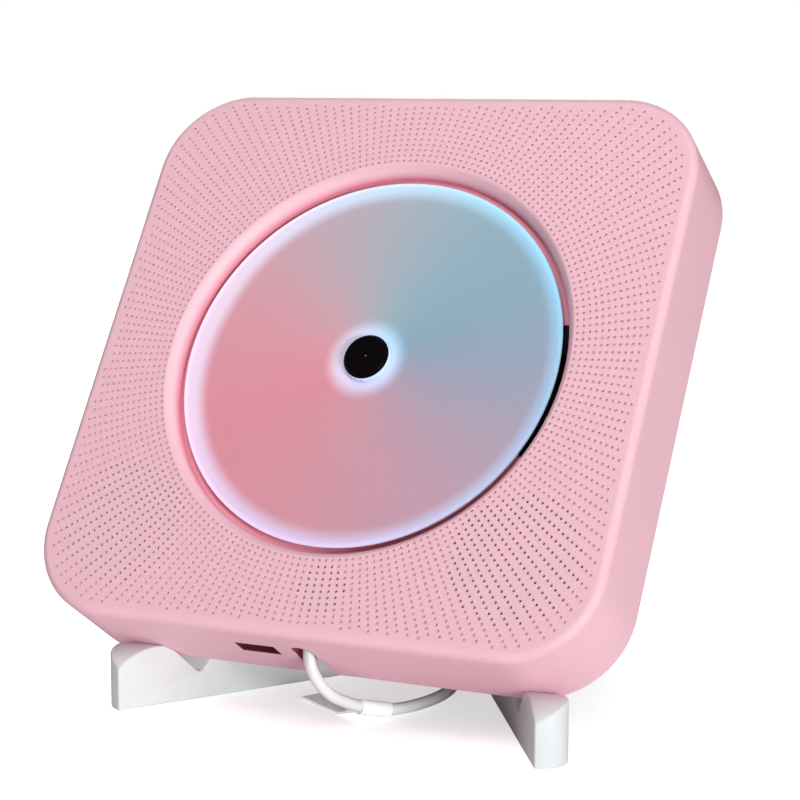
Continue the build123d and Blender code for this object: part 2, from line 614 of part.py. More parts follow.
def drive_deck():
    """Black chassis: base plate, the pad seen in the well, rod brackets and the wheel's stud."""
    deck = plate(*DECK_PLATE, PLATE_LOW, PLATE_TOP, 5.0) + plate(*DECK_TONGUE, PLATE_LOW, PLATE_TOP, 4.0)
    pad = deck_window(LOOSE) & disc_at(0, 0, WELL_R, PLATE_TOP, DECK_TOP)
    deck += pad
    for side in (-1, 1):
        for x in (ROD_SPAN[0] + 1.5, ROD_SPAN[1] - 1.5):
            y = side * ROD_Y
            deck += plate(x - 1.5, x + 1.5, y - 2.6, y + 2.6, ROD_Z - 2.4, PLATE_LOW)
        deck -= bar_x(side * ROD_Y, ROD_Z, ROD_R + 0.02, ROD_SPAN[0] - PAST, ROD_SPAN[1] + PAST)
    # way for the lens, relief for the turntable
    way_end = LENS_REST + SLED_TRAVEL + TURRET_R + 1.1
    deck -= plate(LENS_REST - 8, way_end, -6, 6, PLATE_LOW - PAST, 0, 2.3)
    deck -= disc_at(0, 0, HUB_FLANGE_R + 0.8, DISC_UNDER - 2.0, 0)
    deck -= disc_at(0, 0, HUB_SKIRT_R + 0.5, PLATE_LOW - PAST, 0)
    deck -= pillars(DECK_POSTS, GROMMET_R - GROMMET_LIP, PLATE_LOW - PAST, PLATE_TOP + 0.1)
    deck += disc_at(WHEEL_X, WHEEL_Y, 2.6, RACK_Z[1] + 0.5, PLATE_LOW)
    deck += disc_at(WHEEL_X, WHEEL_Y, STUD_R, WHEEL_Z[0] - 0.5, PLATE_LOW)
    return deck


def grommet(x, y):
    """Rubber mount that grips the edge of a hole in the deck."""
    inner = POST_R + 0.02
    waist = GROMMET_R - GROMMET_LIP - 0.02
    low = PLATE_LOW - GROMMET_LIP
    high = FLOOR_UNDER
    profile = [(inner, low), (GROMMET_R, low), (GROMMET_R, PLATE_LOW - 0.02), (waist, PLATE_LOW - 0.02),
               (waist, PLATE_TOP + 0.02), (GROMMET_R, PLATE_TOP + 0.02), (GROMMET_R, high), (inner, high)]
    return turned(profile, x, y)


def deck_grommets():
    return Compound(children=[grommet(x, y) for x, y in DECK_POSTS])


# ================================================================ sound
def speaker_frame(side):
    """Pressed basket: flange, four arms and the seat of the magnet."""
    x = side * SPEAKER_X
    y = SPEAKER_Y
    back = -FACE_T - SPEAKER_HIGH
    basket = turned([(GRILLE_R - 1.2, -FACE_T), (SPEAKER_R, -FACE_T), (SPEAKER_R, -FACE_T - 1.2),
                     (SPEAKER_R - 2.0, -FACE_T - 2.2), (MAGNET_R + 0.5, back), (5.0, back), (5.0, back + 1.0),
                     (MAGNET_R - 0.3, back + 1.0), (GRILLE_R - 1.2, -FACE_T - 2.4)], x, y)
    for turn in range(45, 360, 90):
        window = plate(8.5, GRILLE_R - 3.5, -5.5, 5.5, back - PAST, -FACE_T - 2.6, 2.0)
        basket -= Pos(x, y, 0) * Rot(0, 0, turn) * window
    return basket


def speaker_cone(side):
    """Rolled surround, paper cone and dust cap."""
    rim = -FACE_T - 1.0
    profile = [(GRILLE_R - 1.5, rim), (GRILLE_R - 1.5, rim - 0.5), (GRILLE_R - 4.0, rim - 0.6),
               (5.4, rim - 7.4), (4.4, rim - 7.4), (4.4, rim - 8.6), (3.9, rim - 8.6), (3.9, rim - 6.2),
               (0, rim - 5.2), (0, rim - 4.7), (5.2, rim - 6.2), (GRILLE_R - 4.2, rim + 0.1),
               (GRILLE_R - 2.6, rim + 0.7)]
    return turned(profile, side * SPEAKER_X, SPEAKER_Y)


def speaker_magnet(side):
    top = -FACE_T - SPEAKER_HIGH
    magnet = disc_at(side * SPEAKER_X, SPEAKER_Y, MAGNET_R, top - MAGNET_HIGH, top)
    magnet = chamfer(magnet.edges(), 0.5)
    return magnet - disc_at(side * SPEAKER_X, SPEAKER_Y, 4.8, top - MAGNET_HIGH / 2, top + PAST)


# ================================================================ boards and sockets
def main_board():
    """Board along the left side, with a tongue under the headphone socket."""
    board = plate(*BOARD, *BOARD_Z, BOARD_CORNER)
    middle = PHONES_AT[0]
    half = PHONES_HALF + 2.0
    board += plate(-IN_W + 1.0, BOARD[0] + 3.0, middle - half, middle + half, *BOARD_Z)
    return board - pillars(BOARD_POSTS, BOARD_HOLE_R, BOARD_Z[0] - PAST, BOARD_Z[1] + PAST)


def board_chips():
    chips = []
    for left, right, low, high, tall in CHIPS:
        chips.append(plate(BOARD[0] + left, BOARD[0] + right, BOARD[2] + low, BOARD[2] + high,
                           BOARD_TOP, BOARD_TOP + tall, 0.3))
    return Compound(children=chips)


def board_capacitors():
    cans = []
    for x, y, radius, tall in CAPACITORS:
        can = disc_at(BOARD[0] + x, BOARD[2] + y, radius, BOARD_TOP, BOARD_TOP + tall)
        cans.append(fillet(can.edges().group_by(Axis.Z)[-1], 0.6))
    return Compound(children=cans)


def headphone_socket():
    y, z = PHONES_AT
    left = -IN_W + 0.1
    body = plate(left, left + PHONES_LENGTH, y - PHONES_HALF, y + PHONES_HALF, BOARD_TOP, z + 4.5, 0.5)
    return body - bar_x(y, z, PHONES_R, left - PAST, left + PHONES_LENGTH - 1.0)


def port_board():
    left, right = PORT_BOARD_X
    board = plate(left, right, JACK_LOW, PORT_BOARD_HIGH, *PORT_BOARD_Z, BOARD_CORNER)
    board += plate(left, -BAY_HALF - BAY_WALL - 0.4, USB_MOUTH + 1, JACK_LOW + 3, *PORT_BOARD_Z)
    return board - pillars(PORT_POSTS, BOARD_HOLE_R, PORT_BOARD_Z[0] - PAST, PORT_BOARD_Z[1] + PAST)


def usb_socket():
    """Folded metal case, open at the bottom wall."""
    width, length, height = USB_CASE
    middle = (USB_SLOT[0] + USB_SLOT[1]) / 2
    half = width / 2
    inner = half - USB_SHEET
    low = PORT_BOARD_TOP
    case = plate(middle - half, middle + half, USB_MOUTH, USB_MOUTH + length, low, low + height)
    return case - plate(middle - inner, middle + inner, USB_MOUTH - PAST, USB_MOUTH + length - 0.9,
                        low + USB_SHEET, low + height - USB_SHEET)


def usb_tongue():
    """Plastic tongue that carries the contacts, on a block at the back of the case."""
    middle = (USB_SLOT[0] + USB_SLOT[1]) / 2
    inner = USB_CASE[0] / 2 - USB_SHEET
    low = PORT_BOARD_TOP + USB_SHEET
    high = USB_MOUTH + USB_CASE[1] - 0.9
    tongue = plate(middle - inner + 0.55, middle + inner - 0.55, USB_MOUTH + 1.2, high, low + 2.9, low + 4.6)
    return tongue + plate(middle - inner, middle + inner, high - 3.0, high, low, low + 5.1)


def power_socket():
    """Barrel socket with its centre pin."""
    body = plate(-JACK_HALF, JACK_HALF, JACK_LOW, JACK_LOW + JACK_LENGTH, PORT_BOARD_TOP, JACK_Z + 4.2, 0.5)
    body -= bar_y(0, JACK_Z, BARREL_R + FIT, JACK_LOW - PAST, JACK_LOW + JACK_LENGTH - 2.0)
    return body + bar_y(0, JACK_Z, PIN_R, JACK_LOW + 2, JACK_LOW + JACK_LENGTH - 1.5)


def light_window():
    """Ring that carries the light board behind the thin part of the face."""
    x, y = WINDOW_AT
    back = -FACE_T - WINDOW_HIGH
    case = ring_at(x, y, WINDOW_R - 1.4, WINDOW_R - 0.2, back, -GRILLE_T - FIT)
    return case + ring_at(x, y, WINDOW_R - 1.4, WINDOW_R + 1.0, back, -FACE_T)


def light_board():
    x, y = WINDOW_AT
    front = -FACE_T - WINDOW_HIGH
    board = disc_at(x, y, WINDOW_R + 1.0, front - 1.0, front)
    return board + plate(x - 4, x + 1, y - 2, y + 2, front, front + 1.8)


def infrared_eye():
    x, y = WINDOW_AT
    base = -FACE_T - WINDOW_HIGH
    block = plate(x + 1.5, x + 4.7, y - 2.4, y + 2.4, base, base + 1.4, 0.3)
    dome = Pos(x + 3.1, y, base + 1.2) * Sphere(1.5) & disc_at(x, y, 6, base + 1.4, base + 4)
    return block + dome


# ================================================================ seat: flat frame to the final frame
LEAN = math.radians(LEAN_ANGLE)


def lean_point(x, y, z):
    """Flat-frame point in upright axes, still measured from the middle of the face."""
    return (x, y * math.sin(LEAN) - z * math.cos(LEAN), y * math.cos(LEAN) + z * math.sin(LEAN))


LOWER_BACK_EDGE = lean_point(0, -HALF_H, BACK)
FLOOR = LOWER_BACK_EDGE[2] - EDGE_HEIGHT
LEG_FRONT = LOWER_BACK_EDGE[1] - FRONT_REACH


def lean(shape):
    return Pos(0, 0, -FLOOR) * Rot(90 - LEAN_ANGLE, 0, 0) * shape


# ================================================================ stand
SPLAY = math.radians(SPLAY_ANGLE)


def arm_line(z):
    """Distance back from the plates' front end of the rear support, at a height over the floor."""
    gap = PLATEAU + BODY_DEPTH + PAD_PROUD + SEAT_GAP
    return (gap + (z + FLOOR) * math.sin(LEAN)) / math.cos(LEAN) - LEG_FRONT


def side_profile():
    """Outline of a plate seen from the side, as distance back and height over the floor."""
    front = Line((0, 0), NOSE[0])
    nose = ThreePointArc(*NOSE)
    arm_low = (arm_line(VALLEY_HIGH), VALLEY_HIGH)
    arm_high = (arm_line(ARM_TOP), ARM_TOP)
    valley = Polyline(NOSE[-1], (VALLEY_AT, VALLEY_HIGH), arm_low, arm_high)
    back_end = PLATE_LENGTH * math.cos(SPLAY) + PLATE_T
    tail = Polyline(arm_high, (arm_high[0] + ARM_WIDE, ARM_TOP), (back_end, TAIL_HEIGHT), (back_end, 0), (0, 0))
    return make_face(Curve() + [front, nose, valley, tail])


def plate_frame(side):
    """Plane on the floor at a plate's inner front corner: X outwards, Y back along the plate."""
    corner = (STAND_SHIFT + side * FRONT_SPREAD, LEG_FRONT, 0)
    outwards = (side * math.cos(SPLAY), math.sin(SPLAY), 0)
    return Plane(origin=corner, x_dir=outwards, z_dir=(0, 0, 1))


def plate_bar(side):
    """Upright bar that the plate is cut from; the outer front corner is rounded."""
    outline = Pos(PLATE_T / 2, side * PLATE_LENGTH / 2) * Rectangle(PLATE_T, PLATE_LENGTH)
    bar = extrude(plate_frame(side) * outline, ARM_TOP + PAST)
    front_pair = bar.edges().filter_by(Axis.Z).sort_by(Axis.Y)[:2].sort_by(Axis.X)
    outer = front_pair[-1] if side > 0 else front_pair[0]
    return fillet(outer, NOSE_ROUND)


def crossing_block(side, low, high):
    """Room for the other plate where the two cross."""
    outline = Rectangle(PLATE_T + 2 * LAP_GAP, PLATE_LENGTH + 40)
    middle = Pos(PLATE_T / 2, side * PLATE_LENGTH / 2, low)
    return extrude(plate_frame(side) * middle * outline, high - low)


def stand_leg(side):
    profile = Plane(origin=(-150, LEG_FRONT, 0), x_dir=(0, 1, 0), z_dir=(1, 0, 0)) * side_profile()
    leg = extrude(profile, 300) & plate_bar(side)
    leg -= housing_room()
    if side > 0:
        return leg - crossing_block(-side, HALF_LAP - LAP_GAP, ARM_TOP + PAST)
    return leg - crossing_block(-side, -PAST, HALF_LAP) - cord_arch(side)


def cord_arch(side):
    """Low round-topped way through a plate for the cord."""
    spring = ARCH_TOP - ARCH_HALF
    walls = Polyline((ARCH_HALF, spring), (ARCH_HALF, -PAST), (-ARCH_HALF, -PAST), (-ARCH_HALF, spring))
    crown = ThreePointArc((-ARCH_HALF, spring), (0, ARCH_TOP), (ARCH_HALF, spring))
    way = extrude(Plane.YZ * make_face(Curve() + [walls, crown]), 2 * PLATE_T, both=True)
    return plate_frame(side) * Pos(0, side * ARCH_AT, 0) * way


def housing_room():
    """Space that the seated housing takes, with its seat gap, run on downwards behind the valley."""
    room = plate(-HALF_W, HALF_W, -HALF_H - SEAT_GAP, HALF_H, BACK, 0, CORNER_R)
    return lean(room)


# ================================================================ cord
def cord_route():
    """Points of the visible run, from the plug over the floor to the coil."""
    x, y, z = lean_point(0, PLUG_TAIL, JACK_Z)
    return [(x, y, z - FLOOR), (0, -37.9, 22.5), (4.4, -34.9, 11.2), (9.4, -24.6, 5.2), (15.8, -13.0, CORD_R),
            (21.0, -1.6, CORD_R), (22.4, 12.4, CORD_R), (18.6, 26.4, CORD_R), (7.6, 35.2, CORD_R),
            (-4.4, 41.2, CORD_R), (-16.8, 46.4, CORD_R), (-31.4, 50.4, CORD_R), (-46.0, 55.7, CORD_R)]


def arc_radii(route):
    """Largest arc that each corner of a route allows."""
    radii = []
    for before, corner, after in zip(route, route[1:], route[2:]):
        one = Vector(*corner) - Vector(*before)
        two = Vector(*after) - Vector(*corner)
        half_turn = math.radians(one.get_angle(two)) / 2
        radii.append(0.45 * min(one.length, two.length) / math.tan(half_turn))
    return radii


def tube(route, name):
    radii = arc_radii(route)
    path = FilletPolyline(*route, radius=radii)
    start = Plane(origin=path @ 0, z_dir=path % 0)
    solid = sweep(start * Circle(CORD_R), path=path)
    expected = math.pi * CORD_R**2 * path.length
    print(name, "length", round(path.length, 1), "volume", round(solid.volume / expected, 4),
          "arc radii", [round(radius, 1) for radius in radii])
    return solid


def power_cord():
    return tube(cord_route(), "cord")


def cord_tail():
    """Short end that leaves the coil for the plug."""
    return tube(TAIL_ROUTE, "tail")


def cord_plug():
    """Slim barrel plug: sprung barrel, ribbed grip and tapered relief."""
    barrel = bar_y(0, JACK_Z, BARREL_R, PLUG_FACE, PLUG_NOSE)
    barrel -= bar_y(0, JACK_Z, PIN_R + 0.15, PLUG_NOSE - 8.6, PLUG_NOSE + PAST)
    grip = bar_y(0, JACK_Z, PLUG_R, PLUG_GRIP_END, PLUG_FACE)
    core = bar_y(0, JACK_Z, PLUG_R - 0.25, PLUG_GRIP_END - PAST, PLUG_FACE + PAST)
    for number in range(4):
        groove = PLUG_GRIP_END + 0.9 + number * 1.1
        grip -= bar_y(0, JACK_Z, PLUG_R + PAST, groove, groove + 0.4) - core
    tail = Plane(origin=(0, PLUG_GRIP_END, JACK_Z), z_dir=(0, -1, 0)) * Pos(0, 0, RELIEF_LENGTH / 2)
    return barrel + grip + tail * Cone(PLUG_R - 0.3, CORD_R + 0.15, RELIEF_LENGTH)


def on_point(origin, ahead, up=(0, 0, 1)):
    """Plane at a point with +X ahead and +Z as near to up as it can be."""
    ahead = Vector(*ahead).normalized()
    sideways = Vector(*up).cross(ahead).normalized()
    return Plane(origin=origin, x_dir=ahead, z_dir=ahead.cross(sideways))


def cord_label():
    """Paper tag: a sleeve pinched round the cord, its two ends laid together as a flag on the floor."""
    near, far = [Vector(*point) for point in cord_route()[3:5]]
    middle = near + (far - near) * 0.5
    room = Rot(0, 90, 0) * Cylinder(CORD_R, LABEL_W + 3)
    sleeve = Box(LABEL_W, CORD_D + LABEL_ROOM[0], CORD_D + LABEL_ROOM[1]) - room
    away = Vector(near.Y - far.Y, far.X - near.X, 0).normalized()
    flag_middle = middle + away * (CORD_D + FLAG_LENGTH / 2)
    flag_middle.Z = FLAG_T
    flag = on_point(flag_middle, away) * Box(FLAG_LENGTH, LABEL_W, FLAG_T)
    return Compound(children=[on_point(middle, far - near) * sleeve, flag])


def cord_coil():
    x, y = COIL_AT
    coil = ring_at(x, y, COIL_R - COIL_WIDE / 2, COIL_R + COIL_WIDE / 2, 0, COIL_HIGH)
    return fillet(coil.edges(), CORD_R * 0.8)


def cord_tie():
    """Strap round the coil's section, on the side away from the stand."""
    x, y = COIL_AT
    outer = Box(COIL_WIDE + 4 * TIE_T, TIE_W, COIL_HIGH + 2 * TIE_T)
    strap = Pos(0, 0, COIL_HIGH / 2 + TIE_T) * fillet(outer.edges().filter_by(Axis.Y), 1.2)
    strap -= Pos(0, 0, COIL_HIGH / 2) * Box(COIL_WIDE + 0.1, TIE_W + 3.0, COIL_HIGH + 0.05)
    return Pos(x - COIL_R, y, 0) * strap


def usb_plug():
    """Moulded grip and hollow metal end, lying beside the coil."""
    before, end = TAIL_ROUTE[-2:]
    ahead = (end[0] - before[0], end[1] - before[1], 0)
    grip_length = USB_GRIP[0]
    length, width, height = USB_SHELL
    shell = Box(*USB_SHELL) - Pos(1.0, 0, 0.6) * Box(length + 0.1, width - 0.8, height - 1.9)
    relief = Rot(0, 90, 0) * Cone(CORD_R + 0.2, CORD_R + 1.4, USB_RELIEF)
    shape = Pos(USB_RELIEF + grip_length / 2, 0, 0) * fillet(Box(*USB_GRIP).edges(), 1.6)
    shape += Pos(USB_RELIEF + grip_length + length / 2 - 0.75, 0, 0) * shell
    shape += Pos(USB_RELIEF / 2, 0, 0) * relief
    return on_point(end, ahead) * shape


# ================================================================ assembly
def player_parts():
    """Every piece of the player, in the flat frame."""
    parts = {
        "front_shell": front_shell(),
        "back_cover": back_cover(),
        "back_pads": back_pads(),
        "case_screws": screws(CASE_POSTS, BACK + SCREW_SUNK, CASE_SCREW),
        "drive_deck": drive_deck(),
        "deck_grommets": deck_grommets(),
        "deck_screws": screws(DECK_POSTS, PLATE_LOW - GROMMET_LIP, DECK_SCREW),
        "spindle_motor": spindle_motor(),
        "spindle_hub": spindle_hub(),
        "hub_mat": hub_mat(),
        "clamp_balls": clamp_balls(),
        "compact_disc": compact_disc(),
        "pickup_sled": pickup_sled(),
        "pickup_lens": pickup_lens(),
        "sled_rods": sled_rods(),
        "sled_motor": sled_motor(),
        "motor_pinion": motor_pinion(),
        "feed_gear": feed_gear(),
        "main_board": main_board(),
        "board_chips": board_chips(),
        "board_capacitors": board_capacitors(),
        "board_screws": screws(BOARD_POSTS, BOARD_Z[0], BOARD_SCREW),
        "port_board": port_board(),
        "port_screws": screws(PORT_POSTS, PORT_BOARD_Z[0], BOARD_SCREW),
        "headphone_socket": headphone_socket(),
        "usb_socket": usb_socket(),
        "usb_tongue": usb_tongue(),
        "power_socket": power_socket(),
        "light_window": light_window(),
        "light_board": light_board(),
        "infrared_eye": infrared_eye(),
        "key_board": key_board(),
        "key_switches": key_switches(),
    }
    for side, name in ((-1, "left"), (1, "right")):
        parts["speaker_frame_" + name] = speaker_frame(side)
        parts["speaker_cone_" + name] = speaker_cone(side)
        parts["speaker_magnet_" + name] = speaker_magnet(side)
    for name, x in zip(BUTTON_NAMES, button_places()):
        parts["button_" + name] = button(x)
    return parts


def stand_parts():
    return {"stand_leg_left": stand_leg(-1), "stand_leg_right": stand_leg(1)}


def cord_parts():
    return {
        "power_cord": power_cord(),
        "cord_tail": cord_tail(),
        "cord_plug": lean(cord_plug()),
        "cord_label": cord_label(),
        "cord_coil": cord_coil(),
        "cord_tie": cord_tie(),
        "usb_plug": usb_plug(),
    }


os.makedirs("parts", exist_ok=True)
parts = {name: lean(shape) for name, shape in player_parts().items()}
parts.update(stand_parts())
middle_y = middle_of(parts.values())
parts.update(cord_parts())
print("middle of the object behind the face's middle:", round(middle_y, 4))
for name, shape in parts.items():
    export_step(Pos(0, -middle_y, 0) * shape, f"parts/{name}.step")
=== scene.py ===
import json
import math

import bpy
from mathutils import Matrix, Vector


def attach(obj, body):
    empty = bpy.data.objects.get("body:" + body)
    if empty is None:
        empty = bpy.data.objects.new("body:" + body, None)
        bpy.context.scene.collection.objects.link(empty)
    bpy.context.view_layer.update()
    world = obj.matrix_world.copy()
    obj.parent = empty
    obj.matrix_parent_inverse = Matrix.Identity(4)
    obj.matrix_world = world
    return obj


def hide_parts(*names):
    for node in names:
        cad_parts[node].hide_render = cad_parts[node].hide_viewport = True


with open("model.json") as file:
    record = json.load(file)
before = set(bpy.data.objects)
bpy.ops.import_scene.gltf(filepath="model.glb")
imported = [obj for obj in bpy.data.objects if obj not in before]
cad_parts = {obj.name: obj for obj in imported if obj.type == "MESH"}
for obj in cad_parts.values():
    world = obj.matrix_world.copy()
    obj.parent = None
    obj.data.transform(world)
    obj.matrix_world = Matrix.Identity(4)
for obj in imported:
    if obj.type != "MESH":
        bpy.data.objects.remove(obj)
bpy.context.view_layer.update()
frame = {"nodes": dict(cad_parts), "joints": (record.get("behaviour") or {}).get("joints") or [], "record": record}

NODES = frame["nodes"]
JOINTS = {joint["name"]: joint for joint in frame["joints"]}
MM = 0.001

# The housing leans back: its face has its own axes, right, up the face and out of it.
OUT = Vector(JOINTS["spindle_spin"]["axis"]).normalized()
RIGHT = Vector((1.0, 0.0, 0.0))
UP_FACE = OUT.cross(RIGHT)
SPINDLE_DEPTH = 10.0            # the spindle's joint lies this far behind the face
FACE_MIDDLE = Vector(JOINTS["spindle_spin"]["pos_m"]) + OUT * SPINDLE_DEPTH * MM
FACE = Matrix.Translation(FACE_MIDDLE) @ Matrix((RIGHT, UP_FACE, OUT)).transposed().to_4x4()

# Sizes are in millimetres. Places on the face are measured from the spindle: right, up and out.
BODY_W, BODY_H, CORNER_R = 179.0, 178.0, 27.0
WELL_R = 62.0
LIP, LIP_DEPTH = 3.0, 4.0       # the round where the well meets the face, and how deep its slope ends
CORD_D = 3.5


# ---------------------------------------------------------------- making pieces
def pick(*objects):
    """Selects these objects and no other, the first one active."""
    bpy.ops.object.select_all(action="DESELECT")
    for item in objects:
        item.select_set(True)
    bpy.context.view_layer.objects.active = objects[0]


def named(name):
    """The new primitive, named, with its place in its mesh."""
    item = bpy.context.object
    item.name = item.data.name = name
    pick(item)
    bpy.ops.object.transform_apply(location=True, rotation=True, scale=True)
    return item


def place(item, matrix):
    """Moves a piece modelled at the origin to where it belongs."""
    pick(item)
    item.matrix_world = matrix
    bpy.ops.object.transform_apply(location=True, rotation=True, scale=True)
    return item


def edit(item, mode="VERT"):
    """Opens a piece in edit mode with nothing selected."""
    pick(item)
    bpy.ops.object.mode_set(mode="EDIT")
    bpy.ops.mesh.select_mode(type=mode)
    bpy.ops.mesh.select_all(action="DESELECT")


def done():
    bpy.ops.object.mode_set(mode="OBJECT")


def select_where(item, test):
    """Selects, in edit mode, the points of a piece that pass a test of their place."""
    bpy.ops.object.mode_set(mode="OBJECT")
    for point in item.data.vertices:
        point.select = bool(test(point.co))
    bpy.ops.object.mode_set(mode="EDIT")


def select_points(item, numbers):
    """Selects, in edit mode, no more than the points with the given numbers."""
    bpy.ops.mesh.select_all(action="DESELECT")
    bpy.ops.object.mode_set(mode="OBJECT")
    for number in numbers:
        item.data.vertices[number].select = True
    bpy.ops.object.mode_set(mode="EDIT")


def select_faces(item, test):
    """Selects, in edit mode, the faces of a piece that pass a test."""
    bpy.ops.object.mode_set(mode="OBJECT")
    for face in item.data.polygons:
        face.select = bool(test(face))
    bpy.ops.object.mode_set(mode="EDIT")


def modified(item, kind, **settings):
    """Puts a modifier on a piece and applies it."""
    pick(item)
    modifier = item.modifiers.new(kind.title(), kind)
    for key, value in settings.items():
        setattr(modifier, key, value)
    bpy.ops.object.modifier_apply(modifier=modifier.name)


def cut(item, cutter):
    """Cuts one shape out of a piece and throws the cutter away."""
    modified(item, "BOOLEAN", operation="DIFFERENCE", solver="MANIFOLD", object=cutter)
    bpy.data.objects.remove(cutter)


def working_copy(part, name):
    """A closed copy of a part's own shape, to be worked on."""
    item = bpy.data.objects.new(name, NODES[part].data.copy())
    item.data.name = name
    item.data.materials.clear()
    bpy.context.scene.collection.objects.link(item)
    edit(item)
    bpy.ops.mesh.select_all(action="SELECT")
    bpy.ops.mesh.remove_doubles(threshold=0.0005 * MM)
    bpy.ops.mesh.tris_convert_to_quads(face_threshold=0.01, shape_threshold=0.01)
    done()
    pick(item)
    if item.data.has_custom_normals:
        bpy.ops.mesh.customdata_custom_splitnormals_clear()
    return item


def finished(item, finish, body, slot, *nodes):
    """Gives a piece its finish and its body, and hides the parts that it stands for."""
    item.data.materials.clear()
    item.data.materials.append(finish)
    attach(item, body)
    if nodes:
        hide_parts(*nodes)
    return item


def smooth(item, angle):
    """Smooth shading with a crease where faces turn by more than the angle, in degrees."""
    pick(item)
    bpy.ops.object.shade_smooth_by_angle(angle=math.radians(angle))


# ---------------------------------------------------------------- shader building
BLACK, WHITE = (0.0, 0.0, 0.0, 1.0), (1.0, 1.0, 1.0, 1.0)
# Most of the clouds' noise and of the streaks' noise lies in these spans.
CLOUD_SPAN, STREAK_SPAN = (0.3, 0.7), (0.25, 0.75)
STREAK_ROUGHNESS = (0.22, 0.42)


def srgb(red, green, blue):
    """Linear colour of a colour given as it looks on a screen, 0 to 255."""
    def linear(value):
        value /= 255.0
        return value / 12.92 if value <= 0.04045 else ((value + 0.055) / 1.055) ** 2.4
    return (linear(red), linear(green), linear(blue), 1.0)


def node(tree, kind, settings=None, **inputs):
    """A shader node with its settings and its inputs, by name or as _ and a number.

    An input is a value or another node's socket.
    """
    item = tree.nodes.new("ShaderNode" + kind)
    for key, value in (settings or {}).items():
        setattr(item, key, value)
    for key, value in inputs.items():
        socket = item.inputs[int(key[1:])] if key[0] == "_" else item.inputs[key.replace("_", " ")]
        if isinstance(value, bpy.types.NodeSocket):
            tree.links.new(value, socket)
        else:
            socket.default_value = value
    return item


def maths(tree, operation, one, two=0.0, clamp=False):
    """The result of a sum on one or two values."""
    return node(tree, "Math", {"operation": operation, "use_clamp": clamp}, _0=one, _1=two).outputs[0]


def spread(tree, value, low, high, out_low=0.0, out_high=1.0):
    """A value mapped from one span to another, with soft ends."""
    item = node(tree, "MapRange", {"interpolation_type": "SMOOTHSTEP"}, _0=value, _1=low, _2=high,
                _3=out_low, _4=out_high)
    return item.outputs[0]


def spread_line(tree, value, low, high, out_low=0.0, out_high=1.0):
    """A value mapped from one span to another in a straight line."""
    item = node(tree, "MapRange", {"clamp": True}, _0=value, _1=low, _2=high, _3=out_low, _4=out_high)
    return item.outputs[0]


def mix(tree, amount, one, two, blend="MIX"):
    """Two colours mixed by an amount."""
    item = node(tree, "Mix", {"data_type": "RGBA", "blend_type": blend}, _0=amount, _6=one, _7=two)
    return item.outputs[2]


def within(tree, value, low, high, soft=0.1):
    """One where a value lies between two limits."""
    return maths(tree, "MULTIPLY", spread_line(tree, value, low - soft, low + soft),
                 spread_line(tree, value, high + soft, high - soft))


def overlay(tree, colour, masks, over):
    """A colour laid over another where every mask is set."""
    amount = masks[0]
    for mask in masks[1:]:
        amount = maths(tree, "MULTIPLY", amount, mask)
    return mix(tree, amount, colour, over)


def group(name, inputs, outputs):
    """An empty node group with its input and output nodes."""
    tree = bpy.data.node_groups.new(name, "ShaderNodeTree")
    for label, default in inputs:
        kind = "NodeSocketColor" if isinstance(default, tuple) else "NodeSocketFloat"
        socket = tree.interface.new_socket(label, in_out="INPUT", socket_type=kind)
        socket.default_value = default
    for label, kind in outputs:
        tree.interface.new_socket(label, in_out="OUTPUT", socket_type=kind)
    return tree, tree.nodes.new("NodeGroupInput"), tree.nodes.new("NodeGroupOutput")


def fine_grain_group():
    """Spark-eroded mould grain with a faint cloudiness: a colour, a height and the clouds themselves."""
    tree, given, result = group("fine_grain", [("Colour", (0.5, 0.5, 0.5, 1.0)), ("Grain Size", 0.25),
                                               ("Cloud", 0.05)],
                                [("Colour", "NodeSocketColor"), ("Height", "NodeSocketFloat"),
                                 ("Clouds", "NodeSocketFloat")])
    coordinates = node(tree, "TexCoord").outputs["Object"]
    scale = maths(tree, "DIVIDE", 1.0 / MM, given.outputs["Grain Size"])
    grain = node(tree, "TexNoise", Vector=coordinates, Scale=scale, Detail=3.0, Roughness=0.6)
    cloud = node(tree, "TexNoise", Vector=coordinates, Scale=28.0, Detail=2.0, Roughness=0.5)
    high = maths(tree, "ADD", maths(tree, "MULTIPLY", cloud.outputs["Fac"], given.outputs["Cloud"]), 1.0)
    low = maths(tree, "SUBTRACT", high, maths(tree, "MULTIPLY", given.outputs["Cloud"], 0.5))
    tone = node(tree, "CombineColor", Red=low, Green=low, Blue=low).outputs[0]
    tree.links.new(mix(tree, 1.0, given.outputs["Colour"], tone, "MULTIPLY"), result.inputs["Colour"])
    tree.links.new(grain.outputs["Fac"], result.inputs["Height"])
    tree.links.new(cloud.outputs["Fac"], result.inputs["Clouds"])
    return tree


def brushed_group():
    """Drawn or turned metal, with fine streaks along one axis: a colour, a roughness and a height."""
    tree, given, result = group("fine_streaks", [("Colour", (0.6, 0.6, 0.6, 1.0)), ("Strength", 0.1)],
                                [("Colour", "NodeSocketColor"), ("Roughness", "NodeSocketFloat"),
                                 ("Height", "NodeSocketFloat")])
    coordinates = node(tree, "TexCoord").outputs["Object"]
    stretched = node(tree, "Mapping", Vector=coordinates, Scale=(90.0, 2600.0, 2600.0)).outputs[0]
    streaks = node(tree, "TexNoise", Vector=stretched, Scale=1.0, Detail=4.0, Roughness=0.65).outputs["Fac"]
    low = maths(tree, "SUBTRACT", 1.0, maths(tree, "MULTIPLY", streaks, given.outputs["Strength"]))
    tone = node(tree, "CombineColor", Red=low, Green=low, Blue=low).outputs[0]
    tree.links.new(mix(tree, 1.0, given.outputs["Colour"], tone, "MULTIPLY"), result.inputs["Colour"])
    rough = spread(tree, streaks, *STREAK_SPAN, *STREAK_ROUGHNESS)
    tree.links.new(rough, result.inputs["Roughness"])
    tree.links.new(streaks, result.inputs["Height"])
    return tree


GRAIN = fine_grain_group()
STREAKS = brushed_group()


